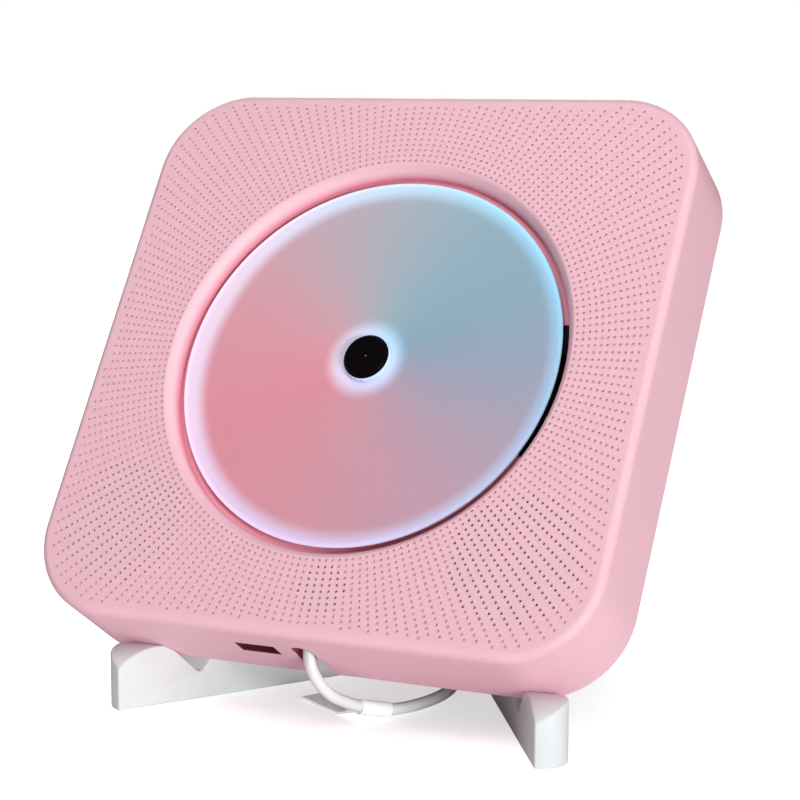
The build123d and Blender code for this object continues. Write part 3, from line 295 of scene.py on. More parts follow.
def new_material(name):
    """A material with its tree and its shader."""
    item = bpy.data.materials.new(name)
    item.use_nodes = True
    item.node_tree.nodes.clear()
    tree = item.node_tree
    shader = tree.nodes.new("ShaderNodeBsdfPrincipled")
    output = tree.nodes.new("ShaderNodeOutputMaterial")
    tree.links.new(shader.outputs[0], output.inputs[0])
    return item, tree, shader


def bump(tree, shader, height, depth, strength=0.35):
    """Relief of the given depth, in millimetres."""
    item = node(tree, "Bump", Height=height, Distance=depth * MM, Strength=strength)
    tree.links.new(item.outputs[0], shader.inputs["Normal"])


def use_grain(tree, colour, size, cloud):
    """The grain group with its colour, the size of its grain in millimetres and its cloudiness."""
    return node(tree, "Group", {"node_tree": GRAIN}, Colour=colour, Grain_Size=size, Cloud=cloud)


def vary_roughness(tree, shader, grain, low, high):
    """Roughness that follows the clouds of the grain."""
    rough = spread(tree, grain.outputs["Clouds"], *CLOUD_SPAN, low, high)
    tree.links.new(rough, shader.inputs["Roughness"])


def moulded(name, colour, roughness, size, cloud, depth=0.02, spread_by=0.06, coat=0.0, gloss=0.5, lit=0.0):
    """Moulded plastic, rubber, epoxy or paint, with the size and depth of its grain in millimetres."""
    item, tree, shader = new_material(name)
    grain = use_grain(tree, colour, size, cloud)
    tree.links.new(grain.outputs["Colour"], shader.inputs["Base Color"])
    vary_roughness(tree, shader, grain, roughness - spread_by, roughness + spread_by)
    shader.inputs["Coat Weight"].default_value = coat
    shader.inputs["Specular IOR Level"].default_value = gloss
    # Emission on a surface that is no lamp: painted light.
    if lit:
        tree.links.new(grain.outputs["Colour"], shader.inputs["Emission Color"])
        shader.inputs["Emission Strength"].default_value = lit
    bump(tree, shader, grain.outputs["Height"], depth)
    return item


def metal(name, colour, streak=0.18):
    """Metal, plated, drawn or turned, with the strength of its streaks."""
    item, tree, shader = new_material(name)
    streaks = node(tree, "Group", {"node_tree": STREAKS}, Colour=colour, Strength=streak)
    shader.inputs["Metallic"].default_value = 1.0
    tree.links.new(streaks.outputs["Colour"], shader.inputs["Base Color"])
    tree.links.new(streaks.outputs["Roughness"], shader.inputs["Roughness"])
    bump(tree, shader, streaks.outputs["Height"], depth=0.01, strength=0.3)
    return item


def distance(tree, one, two):
    """Length of the line whose two measures are given."""
    squares = maths(tree, "ADD", maths(tree, "MULTIPLY", one, one), maths(tree, "MULTIPLY", two, two))
    return maths(tree, "SQRT", squares)


def face_place(tree):
    """Right, up, out and the distance from the spindle, on the housing's face and in millimetres."""
    coordinates = node(tree, "TexCoord").outputs["Object"]
    turn = FACE.to_euler()
    item = node(tree, "Mapping", {"vector_type": "TEXTURE"}, Vector=coordinates,
                Location=tuple(FACE.translation), Rotation=(turn.x, turn.y, turn.z), Scale=(MM, MM, MM))
    right, up, out = node(tree, "SeparateXYZ", Vector=item.outputs[0]).outputs
    return right, up, out, distance(tree, right, up)


# ---------------------------------------------------------------- camera, light and table
SENSOR, LENS = 36.0, 105.2
CAMERA_AT = (0.30413, -0.63238, 0.19028)
CAMERA_TURN = (81.66, 0.0, 25.64)
ROOM = 0.06                     # light that the room itself gives back
TABLE_SIZE = 8.0
TABLE_WHITE = (0.88, 0.88, 0.885, 1.0)
TABLE_GLOW = 0.58               # light of its own that the table has under the object
TABLE_FADE = (0.05, 0.125)      # the table turns into the white of the room over this distance, in metres
# Place, what it points at, width and height, power.
LIGHTS = {
    "top_light": ((0.05, -0.65, 1.2), (0.0, 0.0, 0.05), (1.2, 0.9), 8.5),
    "low_light": ((2.2, -1.8, 0.27), (0.0, 0.0, 0.05), (1.1, 0.48), 54.5),
    "back_light": ((-1.1, 1.4, 0.9), (0.0, 0.0, 0.1), (1.2, 0.9), 15.0),
    "side_light": ((1.3, -0.35, 0.45), (0.0, 0.0, 0.08), (0.8, 0.9), 1.0),
}


def camera():
    lens = bpy.data.cameras.new("camera")
    lens.sensor_width = SENSOR
    lens.lens = LENS
    lens.clip_end = 20.0
    item = bpy.data.objects.new("camera", lens)
    item.location = CAMERA_AT
    item.rotation_euler = [math.radians(turn) for turn in CAMERA_TURN]
    bpy.context.scene.collection.objects.link(item)
    bpy.context.scene.camera = item


def softbox(name, place_at, aim, size, power):
    """A soft rectangular light that points at a place."""
    light = bpy.data.lights.new(name, "AREA")
    light.shape = "RECTANGLE"
    light.size, light.size_y = size
    light.energy = power
    item = bpy.data.objects.new(name, light)
    item.location = place_at
    item.rotation_euler = (Vector(aim) - Vector(place_at)).to_track_quat("-Z", "Y").to_euler()
    bpy.context.scene.collection.objects.link(item)


def table_top():
    """White table with a faint mottle."""
    item, tree, shader = new_material("table_top")
    grain = use_grain(tree, TABLE_WHITE, size=2.0, cloud=0.01)
    tree.links.new(grain.outputs["Colour"], shader.inputs["Base Color"])
    shader.inputs["Roughness"].default_value = 0.6
    shader.inputs["Specular IOR Level"].default_value = 0.1
    shader.inputs["Emission Color"].default_value = WHITE
    seen = node(tree, "LightPath").outputs["Is Camera Ray"]
    away = node(tree, "VectorMath", {"operation": "LENGTH"}, _0=node(tree, "TexCoord").outputs["Object"])
    glow = spread(tree, away.outputs["Value"], *TABLE_FADE, TABLE_GLOW, 1.0)
    tree.links.new(maths(tree, "MULTIPLY", seen, glow), shader.inputs["Emission Strength"])
    return item


def studio():
    """Lights, a white room and the table."""
    for name, settings in LIGHTS.items():
        softbox(name, *settings)
    world = bpy.data.worlds.new("studio")
    bpy.context.scene.world = world
    world.use_nodes = True
    tree = world.node_tree
    seen = node(tree, "LightPath").outputs["Is Camera Ray"]
    back = tree.nodes["Background"]
    back.inputs["Color"].default_value = WHITE
    tree.links.new(spread_line(tree, seen, 0.0, 1.0, ROOM, 1.0), back.inputs["Strength"])
    view = bpy.context.scene.view_settings
    view.view_transform = "Standard"
    view.look = "None"
    bpy.ops.mesh.primitive_plane_add(size=TABLE_SIZE, location=(0.0, 0.0, 0.0))
    table = named("table")
    table.data.materials.append(table_top())


# ---------------------------------------------------------------- finishes that follow the face
# Colours round the disc, salmon, rose, mauve, blue, silver, blush and back to salmon, and of the painted glow
# round its rim.
DISC_TURN = [(231, 146, 160), (218, 154, 168), (182, 160, 182), (121, 170, 194), (163, 187, 196),
             (227, 160, 174), (231, 146, 160)]
RIM_GLOW_TURN = [(246, 220, 250), (222, 195, 230), (193, 215, 250), (132, 208, 240), (190, 232, 255),
            (246, 221, 238), (246, 220, 250)]
DISC_AXIS = math.radians(30.0)      # direction of the blue side
RIM_AXIS = math.radians(-15.0)      # the painted glow at the rim is narrowest here
RIM = (50.4, 55.6)                  # it fades in over these radii where it is widest
RIM_NARROWS = 4.2                   # and this much further out where it is narrowest
BRIGHT_EDGE = (58.0, 59.7)          # from here out to the edge the painted glow is stronger
HALO = (14.1, 8.4)                  # the painted glow round the hub fades in over these radii
HALO_SHIFT = 0.6                    # it lies this far to the left of the spindle
DISC_BACK = (-4.45, -4.55)          # from this depth down the disc shows its silver side
PRINT_DRIFT = 0.04                  # how far the colours wander round the disc, in turns
# Emission strength of the painted glow; the disc is no lamp.
DISC_GLOW = 0.25
PRINT_ROUGHNESS, SILVER_ROUGHNESS = 0.42, 0.12
HALO_BLUE, COLLAR_GLOW_BLUE, DISC_SILVER = srgb(226, 228, 251), srgb(196, 214, 250), srgb(205, 208, 214)


def turn_ramp(tree, turned, colours):
    """Colour by turn, from a list that comes back to its start."""
    fade = node(tree, "ValToRGB", Fac=turned)
    fade.color_ramp.interpolation = "B_SPLINE"
    stops = fade.color_ramp.elements
    while len(stops) < len(colours):
        stops.new(0.5)
    for number, colour in enumerate(colours):
        stops[number].position = number / (len(colours) - 1)
        stops[number].color = srgb(*colour)
    return fade.outputs[0]


def across_face(tree, right, up, angle):
    """Distance along a direction on the face."""
    return maths(tree, "ADD", maths(tree, "MULTIPLY", right, math.cos(angle)),
                 maths(tree, "MULTIPLY", up, math.sin(angle)))


def disc_print():
    """Soft colour fade round the disc, with a painted glow at its rim and round the hub: pale colour that also
    shines, though the disc is no lamp.
    """
    item, tree, shader = new_material("disc_print")
    right, up, out, radius = face_place(tree)
    cloud = node(tree, "TexNoise", Vector=node(tree, "TexCoord").outputs["Object"], Scale=22.0, Detail=1.5)
    drift = maths(tree, "MULTIPLY", maths(tree, "SUBTRACT", cloud.outputs["Fac"], 0.5), PRINT_DRIFT)
    angle = maths(tree, "ARCTAN2", across_face(tree, right, up, DISC_AXIS + math.pi / 2),
                  across_face(tree, right, up, DISC_AXIS))
    turned = maths(tree, "ADD", spread_line(tree, angle, -math.pi, math.pi), drift, clamp=True)
    face = turn_ramp(tree, turned, DISC_TURN)
    glow = turn_ramp(tree, turned, RIM_GLOW_TURN)
    lean = maths(tree, "DIVIDE", across_face(tree, right, up, RIM_AXIS), radius)
    narrow = maths(tree, "SQRT", maths(tree, "MULTIPLY", maths(tree, "ADD", lean, 1.0), 0.5), clamp=True)
    band = maths(tree, "SUBTRACT", radius, maths(tree, "MULTIPLY", narrow, RIM_NARROWS))
    rim = spread(tree, band, *RIM)
    hub = spread(tree, distance(tree, maths(tree, "ADD", right, HALO_SHIFT), up), *HALO)
    halo = mix(tree, maths(tree, "MULTIPLY", hub, 0.5), glow, HALO_BLUE)
    glow_mask = maths(tree, "ADD", rim, hub, clamp=True)
    under = spread_line(tree, out, *DISC_BACK)
    colour = mix(tree, under, mix(tree, glow_mask, face, halo), DISC_SILVER)
    tree.links.new(colour, shader.inputs["Base Color"])
    tree.links.new(maths(tree, "MULTIPLY", under, 0.95), shader.inputs["Metallic"])
    rough = spread_line(tree, under, 0.0, 1.0, PRINT_ROUGHNESS, SILVER_ROUGHNESS)
    tree.links.new(rough, shader.inputs["Roughness"])
    edge = maths(tree, "MULTIPLY", glow_mask, spread(tree, radius, *BRIGHT_EDGE, 0.2, 1.0))
    # The painted glow shines as emission at the rim and round the hub.
    lit = mix(tree, maths(tree, "MULTIPLY", edge, maths(tree, "SUBTRACT", 1.0, under)), BLACK, halo)
    tree.links.new(lit, shader.inputs["Emission Color"])
    shader.inputs["Emission Strength"].default_value = DISC_GLOW
    bump(tree, shader, cloud.outputs["Fac"], depth=0.004, strength=0.2)
    return item


FACE_PINK, UNDER_PAINTED_LIGHT = srgb(242, 193, 205), srgb(252, 199, 213)
WELL_EDGE = (65.4, 64.6)            # the painted light and shade of the well begin inside this radius
WELL_SPAN = (-7.5, 1.0)             # and lie between these depths
# Painted light and shade of the lip and of the well's wall, over these depths: the lip paler against its shade,
# the wall a deeper rose for its shade and the pink light it throws on itself.
WELL_PAINTED_SHADES = [((-0.1, -1.6), srgb(253, 200, 211)), ((-1.8, -4.2), srgb(242, 158, 176))]
UNDERSIDE = (-84.0, -88.6)          # the lower wall turns paler over these heights, painted light standing in for light thrown up from the table
# Painted shade in the USB slot and in the cord's notch: reach across and through the housing, and its dark colour.
OPENING_SHADES = [((-22.3, -8.4), (-18.3, -10.5), srgb(92, 30, 44)),
            ((-3.7, 3.7), (-27.0, -8.6), srgb(150, 66, 86))]
OPENING_SPAN = (-88.7, -40.0)       # heights between which the painted shade lies
HUB_BLACK = srgb(7, 4, 5)
COLLAR_SPAN, COLLAR_EDGE = (-4.6, -2.4), (6.5, 6.7)     # depths and radius of the hub's collar
COLLAR_GLOW = 0.2


def housing_finish():
    """Pink mouldings with painted light and shade: a paler lip, a deeper rose well wall, a paler underside and
    painted dark shade in the openings.
    """
    item, tree, shader = new_material("housing_pink")
    grain = use_grain(tree, FACE_PINK, size=0.35, cloud=0.035)
    right, up, out, radius = face_place(tree)
    in_well = maths(tree, "MULTIPLY", spread_line(tree, radius, *WELL_EDGE), within(tree, out, *WELL_SPAN))
    colour = grain.outputs["Colour"]
    # Painted light and shade in the well: a paler lip, a deeper rose wall.
    for depth, painted_tone in WELL_PAINTED_SHADES:
        colour = overlay(tree, colour, [in_well, spread(tree, out, *depth)], painted_tone)
    # Painted light: the underside paler, for light thrown up from the table.
    colour = overlay(tree, colour, [spread(tree, up, *UNDERSIDE)], UNDER_PAINTED_LIGHT)
    # Painted shade: dark in the USB slot and in the cord's notch.
    inside = within(tree, up, *OPENING_SPAN)
    for across, through, painted_dark in OPENING_SHADES:
        masks = [inside, within(tree, right, *across), within(tree, out, *through)]
        colour = overlay(tree, colour, masks, painted_dark)
    tree.links.new(colour, shader.inputs["Base Color"])
    vary_roughness(tree, shader, grain, low=0.46, high=0.58)
    bump(tree, shader, grain.outputs["Height"], depth=0.02)
    return item


def hub_finish():
    """Black cap on a pale blue collar that glows: painted light standing in for the glow round the hub."""
    item, tree, shader = new_material("hub_black")
    grain = use_grain(tree, HUB_BLACK, size=0.4, cloud=0.2)
    out, radius = face_place(tree)[2:]
    collar = maths(tree, "MULTIPLY", within(tree, out, *COLLAR_SPAN, soft=0.05),
                   spread_line(tree, radius, *COLLAR_EDGE))
    # The collar is painted pale blue and given a glow: painted light from the glow round the hub.
    tree.links.new(mix(tree, collar, grain.outputs["Colour"], COLLAR_GLOW_BLUE), shader.inputs["Base Color"])
    tree.links.new(mix(tree, collar, BLACK, COLLAR_GLOW_BLUE), shader.inputs["Emission Color"])
    vary_roughness(tree, shader, grain, low=0.55, high=0.66)
    shader.inputs["Emission Strength"].default_value = COLLAR_GLOW
    shader.inputs["Specular IOR Level"].default_value = 0.04
    bump(tree, shader, grain.outputs["Height"], depth=0.01)
    return item


# After the colour: roughness, grain size, cloudiness and grain depth, or the strength of a metal's streaks.
HOUSING_PINK = housing_finish()
STAND_WHITE = moulded("stand_white", srgb(221, 226, 227), 0.45, 0.4, 0.02)
CORD_WHITE = moulded("cord_white", srgb(238, 240, 241), 0.38, 0.6, 0.04, 0.01)
STEEL = metal("zinc_plated_steel", srgb(190, 191, 196))
GOLD = metal("gold_plate", srgb(226, 184, 96), 0.08)
# The shaft's end is rose: a painted reflection of the pink round it.
SHAFT_PAINTED_REFLECTION = metal("shaft_end", srgb(128, 66, 78), 0.1)
FINISHES = {
    "housing": HOUSING_PINK,
    "keys": moulded("key_pink", srgb(238, 198, 208), 0.45, 0.3, 0.04),
    "pads": moulded("grey_rubber", srgb(120, 120, 124), 0.85, 0.5, 0.15, 0.05),
    "screws": STEEL,
    "deck": moulded("deck_black", srgb(9, 8, 9), 0.6, 0.3, 0.2, gloss=0.1),
    "grommets": moulded("black_rubber", srgb(24, 24, 25), 0.8, 0.4, 0.2, 0.04),
    "motor": metal("motor_can", srgb(198, 198, 202), 0.12),
    "hub": hub_finish(),
    "hub_mat": moulded("hub_mat_rubber", srgb(20, 20, 20), 0.85, 0.3, 0.2, 0.04),
    "balls": metal("ball_steel", srgb(210, 210, 214), 0.05),
    "disc": disc_print(),
    "sled": moulded("sled_black", srgb(20, 20, 22), 0.55, 0.25, 0.25, 0.03),
    "lens": moulded("lens_coating", srgb(70, 80, 140), 0.08, 0.5, 0.3, 0.002, spread_by=0.03, coat=0.8),
    "rods": metal("ground_rod", srgb(212, 212, 216), 0.1),
    "pinion": metal("turned_brass", srgb(214, 176, 96), 0.2),
    "gear": moulded("acetal", srgb(232, 230, 220), 0.4, 0.4, 0.05, 0.01),
    "boards": moulded("solder_resist", srgb(22, 88, 48), 0.35, 1.2, 0.3, spread_by=0.05, coat=0.3),
    "chips": moulded("chip_epoxy", srgb(26, 26, 28), 0.6, 0.2, 0.2),
    "cans": metal("capacitor_can", srgb(176, 178, 184), 0.1),
    "socket_black": moulded("socket_black", srgb(16, 16, 17), 0.45, 0.3, 0.2),
    "socket_steel": metal("socket_steel", srgb(190, 190, 190), 0.15),
    "window": moulded("window_dark", srgb(30, 22, 24), 0.4, 0.3, 0.2),
    "eye": moulded("eye_epoxy", srgb(40, 12, 20), 0.15, 0.5, 0.2, 0.002, spread_by=0.05, coat=0.6),
    "basket": moulded("basket_black", srgb(26, 22, 23), 0.55, 0.3, 0.25, 0.03),
    "cone": moulded("cone_paper", srgb(30, 26, 28), 0.85, 0.5, 0.35, 0.08),
    "magnet": moulded("ferrite", srgb(52, 52, 55), 0.7, 0.3, 0.3, 0.05),
    "stand": STAND_WHITE,
    "cord": CORD_WHITE,
    # The paper glows a little: painted light that keeps it pale in the shade under the housing.
    "label": moulded("label_paper", srgb(246, 247, 250), 0.6, 0.25, 0.02, 0.01, lit=0.2),
    "tie": moulded("strap_fabric", srgb(58, 58, 60), 0.95, 0.7, 0.5, 0.15),
    "usb_plug": moulded("plug_white", srgb(228, 229, 230), 0.42, 0.3, 0.03),
}


# ---------------------------------------------------------------- housing with its pattern of holes
FIRST_RING, RING_STEP, RINGS = 65.62, 1.878, 25
RAYS = 200
HOLE_R, HOLE_SIDES = 0.47, 12
DIMPLE, THROUGH = 0.6, 2.0      # depth of a blind hole and of one that goes through
ABOVE = 0.3                     # how far the pins stand out of the face
PATTERN_MARGIN = 3.8            # plain border along the outline
# Right, up and radius of the rounds in which the holes go through.
GRILLES = [(-62.8, -59.3, 19.5), (62.8, -59.3, 19.5), (7.0, -74.0, 7.3)]
NEAR = 0.04                     # a point this near to a surface is on it
FLAT = 0.9999                   # a face whose normal agrees this well lies in the plane


def in_pattern(x, y):
    """True for a place on the face that is inside the plain border."""
    across = abs(x) - (BODY_W / 2 - CORNER_R)
    along = abs(y) - (BODY_H / 2 - CORNER_R)
    reach = math.hypot(across, along) if across > 0 and along > 0 else max(across, along)
    return reach <= CORNER_R - PATTERN_MARGIN


def grille_pins():
    """Pins on rays and rings round the well: each one leaves a hole in the face."""
    bpy.ops.mesh.primitive_cylinder_add(vertices=HOLE_SIDES, radius=HOLE_R * MM, depth=(DIMPLE + ABOVE) * MM,
                                        location=(FIRST_RING * MM, 0.0, (ABOVE - DIMPLE) / 2 * MM))
    pins = named("grille_pins")
    size = len(pins.data.vertices)              # points of one pin
    modified(pins, "ARRAY", count=RINGS, use_relative_offset=False, use_constant_offset=True,
             constant_offset_displace=(RING_STEP * MM, 0.0, 0.0))
    bpy.ops.object.empty_add(rotation=(0.0, 0.0, 2 * math.pi / RAYS))
    step = bpy.context.object
    modified(pins, "ARRAY", count=RAYS, use_relative_offset=False, use_object_offset=True, offset_object=step)
    bpy.data.objects.remove(step)
    points = pins.data.vertices
    outside, deep = [], []
    for first in range(0, len(points), size):
        members = range(first, first + size)
        x = sum(points[number].co.x for number in members) / size / MM
        y = sum(points[number].co.y for number in members) / size / MM
        if not in_pattern(x, y):
            outside.extend(members)
        elif any(math.hypot(x - u, y - v) < reach for u, v, reach in GRILLES):
            deep.extend(number for number in members if points[number].co.z < 0)
    edit(pins)
    select_points(pins, deep)
    bpy.ops.transform.translate(value=(0.0, 0.0, (DIMPLE - THROUGH) * MM))
    select_points(pins, outside)
    bpy.ops.mesh.delete(type="VERT")
    done()
    return place(pins, FACE)


def ease_lip(shell):
    """The well's lip falls away from the face in one easy slope down to the disc."""
    inverse = FACE.inverted()
    for point in shell.data.vertices:
        local = (inverse @ point.co) / MM
        radius = math.hypot(local.x, local.y)
        on_round = abs(math.hypot(radius - WELL_R - LIP, local.z + LIP) - LIP) < NEAR
        if on_round and radius < WELL_R + LIP and local.z > -LIP - NEAR:
            along = min(1.0, max(0.0, (radius - WELL_R) / LIP))
            depth = LIP_DEPTH * (1.0 - along) ** 2
            point.co = FACE @ (Vector((local.x, local.y, -depth)) * MM)


def flatten_normals(item):
    """The flat of the face shades flat right up to its rounds."""
    pick(item)
    bpy.ops.object.mode_set(mode="EDIT")
    bpy.ops.mesh.select_mode(type="FACE")
    # Edges that are still selected stay so, because the shade of the through holes depends on them.
    select_faces(item, lambda face: face.normal.dot(OUT) > FLAT
                 and (face.center - FACE_MIDDLE).dot(OUT) > -0.01 * MM)
    bpy.ops.mesh.set_normals_from_faces(keep_sharp=True)
    done()


def housing():
    """Front shell with its eased lip and its holes."""
    shell = working_copy("front_shell", "housing_front")
    ease_lip(shell)
    cut(shell, grille_pins())
    smooth(shell, 32.0)
    flatten_normals(shell)
    finished(shell, HOUSING_PINK, "player", "housing", "front_shell")


# ---------------------------------------------------------------- stand
def stand_plate(part, name):
    """One plate of the stand with the soft edges of its moulding."""
    plate = working_copy(part, name)
    edit(plate)
    bpy.ops.mesh.select_all(action="SELECT")
    bpy.ops.mesh.dissolve_limited(angle_limit=math.radians(0.5))
    done()
    modified(plate, "BEVEL", width=0.8 * MM, segments=3, limit_method="ANGLE", angle_limit=math.radians(35.0),
             miter_outer="MITER_ARC", use_clamp_overlap=True)
    smooth(plate, 35.0)
    finished(plate, STAND_WHITE, "stand", "stand", part)


# ---------------------------------------------------------------- cord
BACK_SHIFT = 23.8269            # the cord's places are measured from this far in front of the middle
# Right, back and up: from the plug in the housing down to the table and on to the coil.
ROUTE = [(0.0, -31.55, 32.18), (0.0, -37.9, 22.5), (4.4, -34.9, 11.2), (9.4, -24.6, 5.2), (15.8, -13.0, 1.75),
         (21.0, -1.6, 1.75), (22.4, 12.4, 1.75), (18.6, 26.4, 1.75), (7.6, 35.2, 1.75), (-4.4, 41.2, 1.75),
         (-16.8, 46.4, 1.75), (-31.4, 50.0, 1.75)]
# From the coil to the USB plug.
TAIL = [(-31.0, 99.2, 2.4), (-21.0, 100.6, 1.75), (-12.0, 105.6, 2.8), (-2.0, 107.4, 3.95)]
COIL_AT = (-40.0, 74.0)
COIL_R = 19.25
STRAND = 3.6                    # step from one strand to the next
ROW = STRAND * math.sqrt(3) / 2
COIL_START, COIL_END = -100.0, 112.0            # directions from its middle, in degrees
COIL_POINTS = 16                # points for each turn
CHORD = 1.014                   # they stand outside the curve that they draw by this much


def coil_slots():
    """Radius and height of each turn: three on the table, two between them, three on top."""
    low, middle, high = CORD_D / 2, CORD_D / 2 + ROW, CORD_D / 2 + 2 * ROW
    return [(COIL_R + STRAND, low), (COIL_R, low), (COIL_R - STRAND, low), (COIL_R - STRAND / 2, middle),
            (COIL_R + STRAND / 2, middle), (COIL_R - STRAND, high), (COIL_R, high), (COIL_R + STRAND, high)]


def coil_points():
    """Turns of the coil, clockwise from above; each turn steps to its own place in its first quarter."""
    slots = coil_slots()
    sweep_all = 360.0 * (len(slots) - 1) + (360.0 - (COIL_END - COIL_START))
    count = round(sweep_all / 360.0 * COIL_POINTS)
    points = []
    for number in range(count + 1):
        turned = sweep_all * number / count
        turn, past = int(turned // 360.0), turned % 360.0
        radius, height = slots[min(turn, len(slots) - 1)]
        if turn > 0 and past < 90.0:
            share = past / 90.0
            share = share * share * (3.0 - 2.0 * share)
            old_radius, old_height = slots[turn - 1]
            radius = old_radius + (radius - old_radius) * share
            height = old_height + (height - old_height) * share
        angle = math.radians(COIL_START - turned)
        points.append((COIL_AT[0] + radius * CHORD * math.cos(angle),
                       COIL_AT[1] + radius * CHORD * math.sin(angle), height))
    return points


def in_row(point):
    """A place on the cord's way, set down on the table in metres."""
    return Vector((point[0], point[1] - BACK_SHIFT, point[2])) * MM


def cord(pieces):
    """One smooth lead from the plug, through its coil, to the USB plug. The pieces that sit on it are passed in
    but not used.
    """
    route = [in_row(point) for point in ROUTE + coil_points() + TAIL]
    line = bpy.data.curves.new("power_lead", "CURVE")
    line.dimensions = "3D"
    line.bevel_depth = CORD_D / 2 * MM
    line.bevel_resolution = 5
    line.resolution_u = 8
    line.use_fill_caps = True
    spline = line.splines.new("NURBS")
    spline.points.add(len(route) - 1)
    for point, place_at in zip(spline.points, route):
        point.co = (*place_at, 1.0)
    spline.order_u = 3
    spline.use_endpoint_u = True
    item = bpy.data.objects.new("power_lead", line)
    bpy.context.scene.collection.objects.link(item)
    finished(item, CORD_WHITE, "stand", "cord", "power_cord", "cord_coil", "cord_tail")


# ---------------------------------------------------------------- tag, strap and plug on the cord
TAG_W, TAG_R, PAPER = 10.6, 2.2, 0.14
TAG_RUN = 3                     # the run of the route that the tag sits on
# Each crease of the flag's two layers: step out, height over the table, how much tilt is left.
TAG_LOWER = [(2.5, 2.0, 0.7), (3.0, 0.75, 0.4), (3.0, 0.25, 0.1), (4.0, 0.2, 0.0), (5.0, 0.2, 0.0),
             (5.0, 0.3, 0.0), (6.0, 0.5, 0.0)]
TAG_UPPER = [(2.5, 2.5, 0.7), (3.0, 1.25, 0.4), (3.0, 0.65, 0.1), (4.0, 0.55, 0.0), (5.0, 0.6, 0.0),
             (5.0, 0.75, 0.0), (5.6, 1.0, 0.0)]
TIE_W, TIE_T, TIE_LIFT = 6.0, 0.5, 0.2
TIE_SPAN = (12.0, 9.9)          # inside width and height of the strap's loop
STRAP_END = (9.0, TIE_W - 0.3, 0.55)
GRIP = (20.0, 15.5, 7.8)        # length, width and height of the plug's grip
SHELL = (12.5, 12.0, 4.5)       # and of its metal end
SHELL_IN_GRIP = 0.75
RELIEF = 4.0                    # length of the cord's taper behind the grip
CONTACTS = [(-3.45, 7.4), (-1.15, 6.4), (1.15, 6.4), (3.45, 7.4)]   # place across and length of each


def frame_at(origin, ahead):
    """Matrix with its X axis ahead and its Z axis as near to up as it can be."""
    ahead = ahead.normalized()
    across = Vector((0.0, 0.0, 1.0)).cross(ahead).normalized()
    turn = Matrix((ahead, across, ahead.cross(across))).transposed().to_4x4()
    return Matrix.Translation(origin) @ turn


def tag_layer(tag, edge_test, away, steps):
    """Draws the strip's end out over the table, one crease at a time."""
    edit(tag)
    select_where(tag, edge_test)
    for out, height, tilt in steps:
        bpy.ops.mesh.extrude_region_move(TRANSFORM_OT_translate={"value": away * out * MM})
        bpy.ops.object.mode_set(mode="OBJECT")
        ends = [point.co.copy() for point in tag.data.vertices if point.select]
        bpy.ops.object.mode_set(mode="EDIT")
        middle = sum(ends, Vector()) / len(ends)
        bpy.ops.transform.resize(value=(1.0, 1.0, tilt), center_override=middle)
        bpy.ops.transform.translate(value=(0.0, 0.0, height * MM - middle.z))
    done()


def paper_tag():
    """Strip of paper pinched round the cord, its two ends lying together as a flag on the table."""
    near, far = in_row(ROUTE[TAG_RUN]), in_row(ROUTE[TAG_RUN + 1])
    place_at = frame_at((near + far) / 2, far - near)
    bpy.ops.mesh.primitive_cylinder_add(vertices=32, radius=TAG_R * MM, depth=TAG_W * MM,
                                        end_fill_type="NOTHING", rotation=(0.0, math.pi / 2, 0.0))
    tag = named("paper_tag")
    edit(tag, "FACE")
    select_faces(tag, lambda face: face.center.y > 0.97 * TAG_R * MM)
    bpy.ops.mesh.delete(type="FACE")
    done()
    place(tag, place_at)
    away = place_at.to_3x3() @ Vector((0.0, 1.0, 0.0))
    inverse = place_at.inverted()

    def free_edge(side):
        def test(point):
            local = inverse @ point
            return local.y > 0.9 * TAG_R * MM and local.z * side > 0
        return test

    tag_layer(tag, free_edge(-1), away, TAG_LOWER)
    tag_layer(tag, free_edge(1), away, TAG_UPPER)
    modified(tag, "SOLIDIFY", thickness=PAPER * MM, offset=0.0)
    smooth(tag, 50.0)
    return finished(tag, FINISHES["label"], "stand", "label", "cord_label")


def faces_inwards(item):
    """True for a shell round the origin whose faces point in."""
    return sum(face.normal.dot(face.center) for face in item.data.polygons) < 0


def strap():
    """Fabric strap round the coil, with its end laid over itself."""
    x, y = COIL_AT
    middle = in_row((x - COIL_R, y, CORD_D / 2 + ROW + TIE_LIFT))
    wide, high = TIE_SPAN
    bpy.ops.mesh.primitive_cube_add(size=1.0, scale=(wide * MM, TIE_W * MM, high * MM))
    loop = named("coil_strap")
    edit(loop, "FACE")
    select_faces(loop, lambda face: abs(face.normal.y) > 0.9)
    bpy.ops.mesh.delete(type="ONLY_FACE")
    done()
    modified(loop, "BEVEL", width=2.6 * MM, segments=6, limit_method="ANGLE", angle_limit=math.radians(40.0))
    modified(loop, "SOLIDIFY", thickness=TIE_T * MM, offset=-1.0 if faces_inwards(loop) else 1.0)
    bpy.ops.mesh.primitive_cube_add(size=1.0, location=(0.9 * MM, 0.0, (high / 2 + TIE_T + 0.3) * MM),
                                    rotation=(0.0, -0.03, 0.0), scale=[size * MM for size in STRAP_END])
    end = named("strap_end")
    modified(end, "BEVEL", width=0.15 * MM, segments=2, limit_method="ANGLE")
    pick(loop, end)
    bpy.ops.object.join()
    smooth(loop, 40.0)
    place(loop, Matrix.Translation(middle))
    return finished(loop, FINISHES["tie"], "stand", "tie", "cord_tie")


def plug_frame():
    """Where the plug starts, at the cord's end, lying level."""
    before, end = in_row(TAIL[-2]), in_row(TAIL[-1])
    ahead = Vector((end.x - before.x, end.y - before.y, 0.0))
    return frame_at(end, ahead)


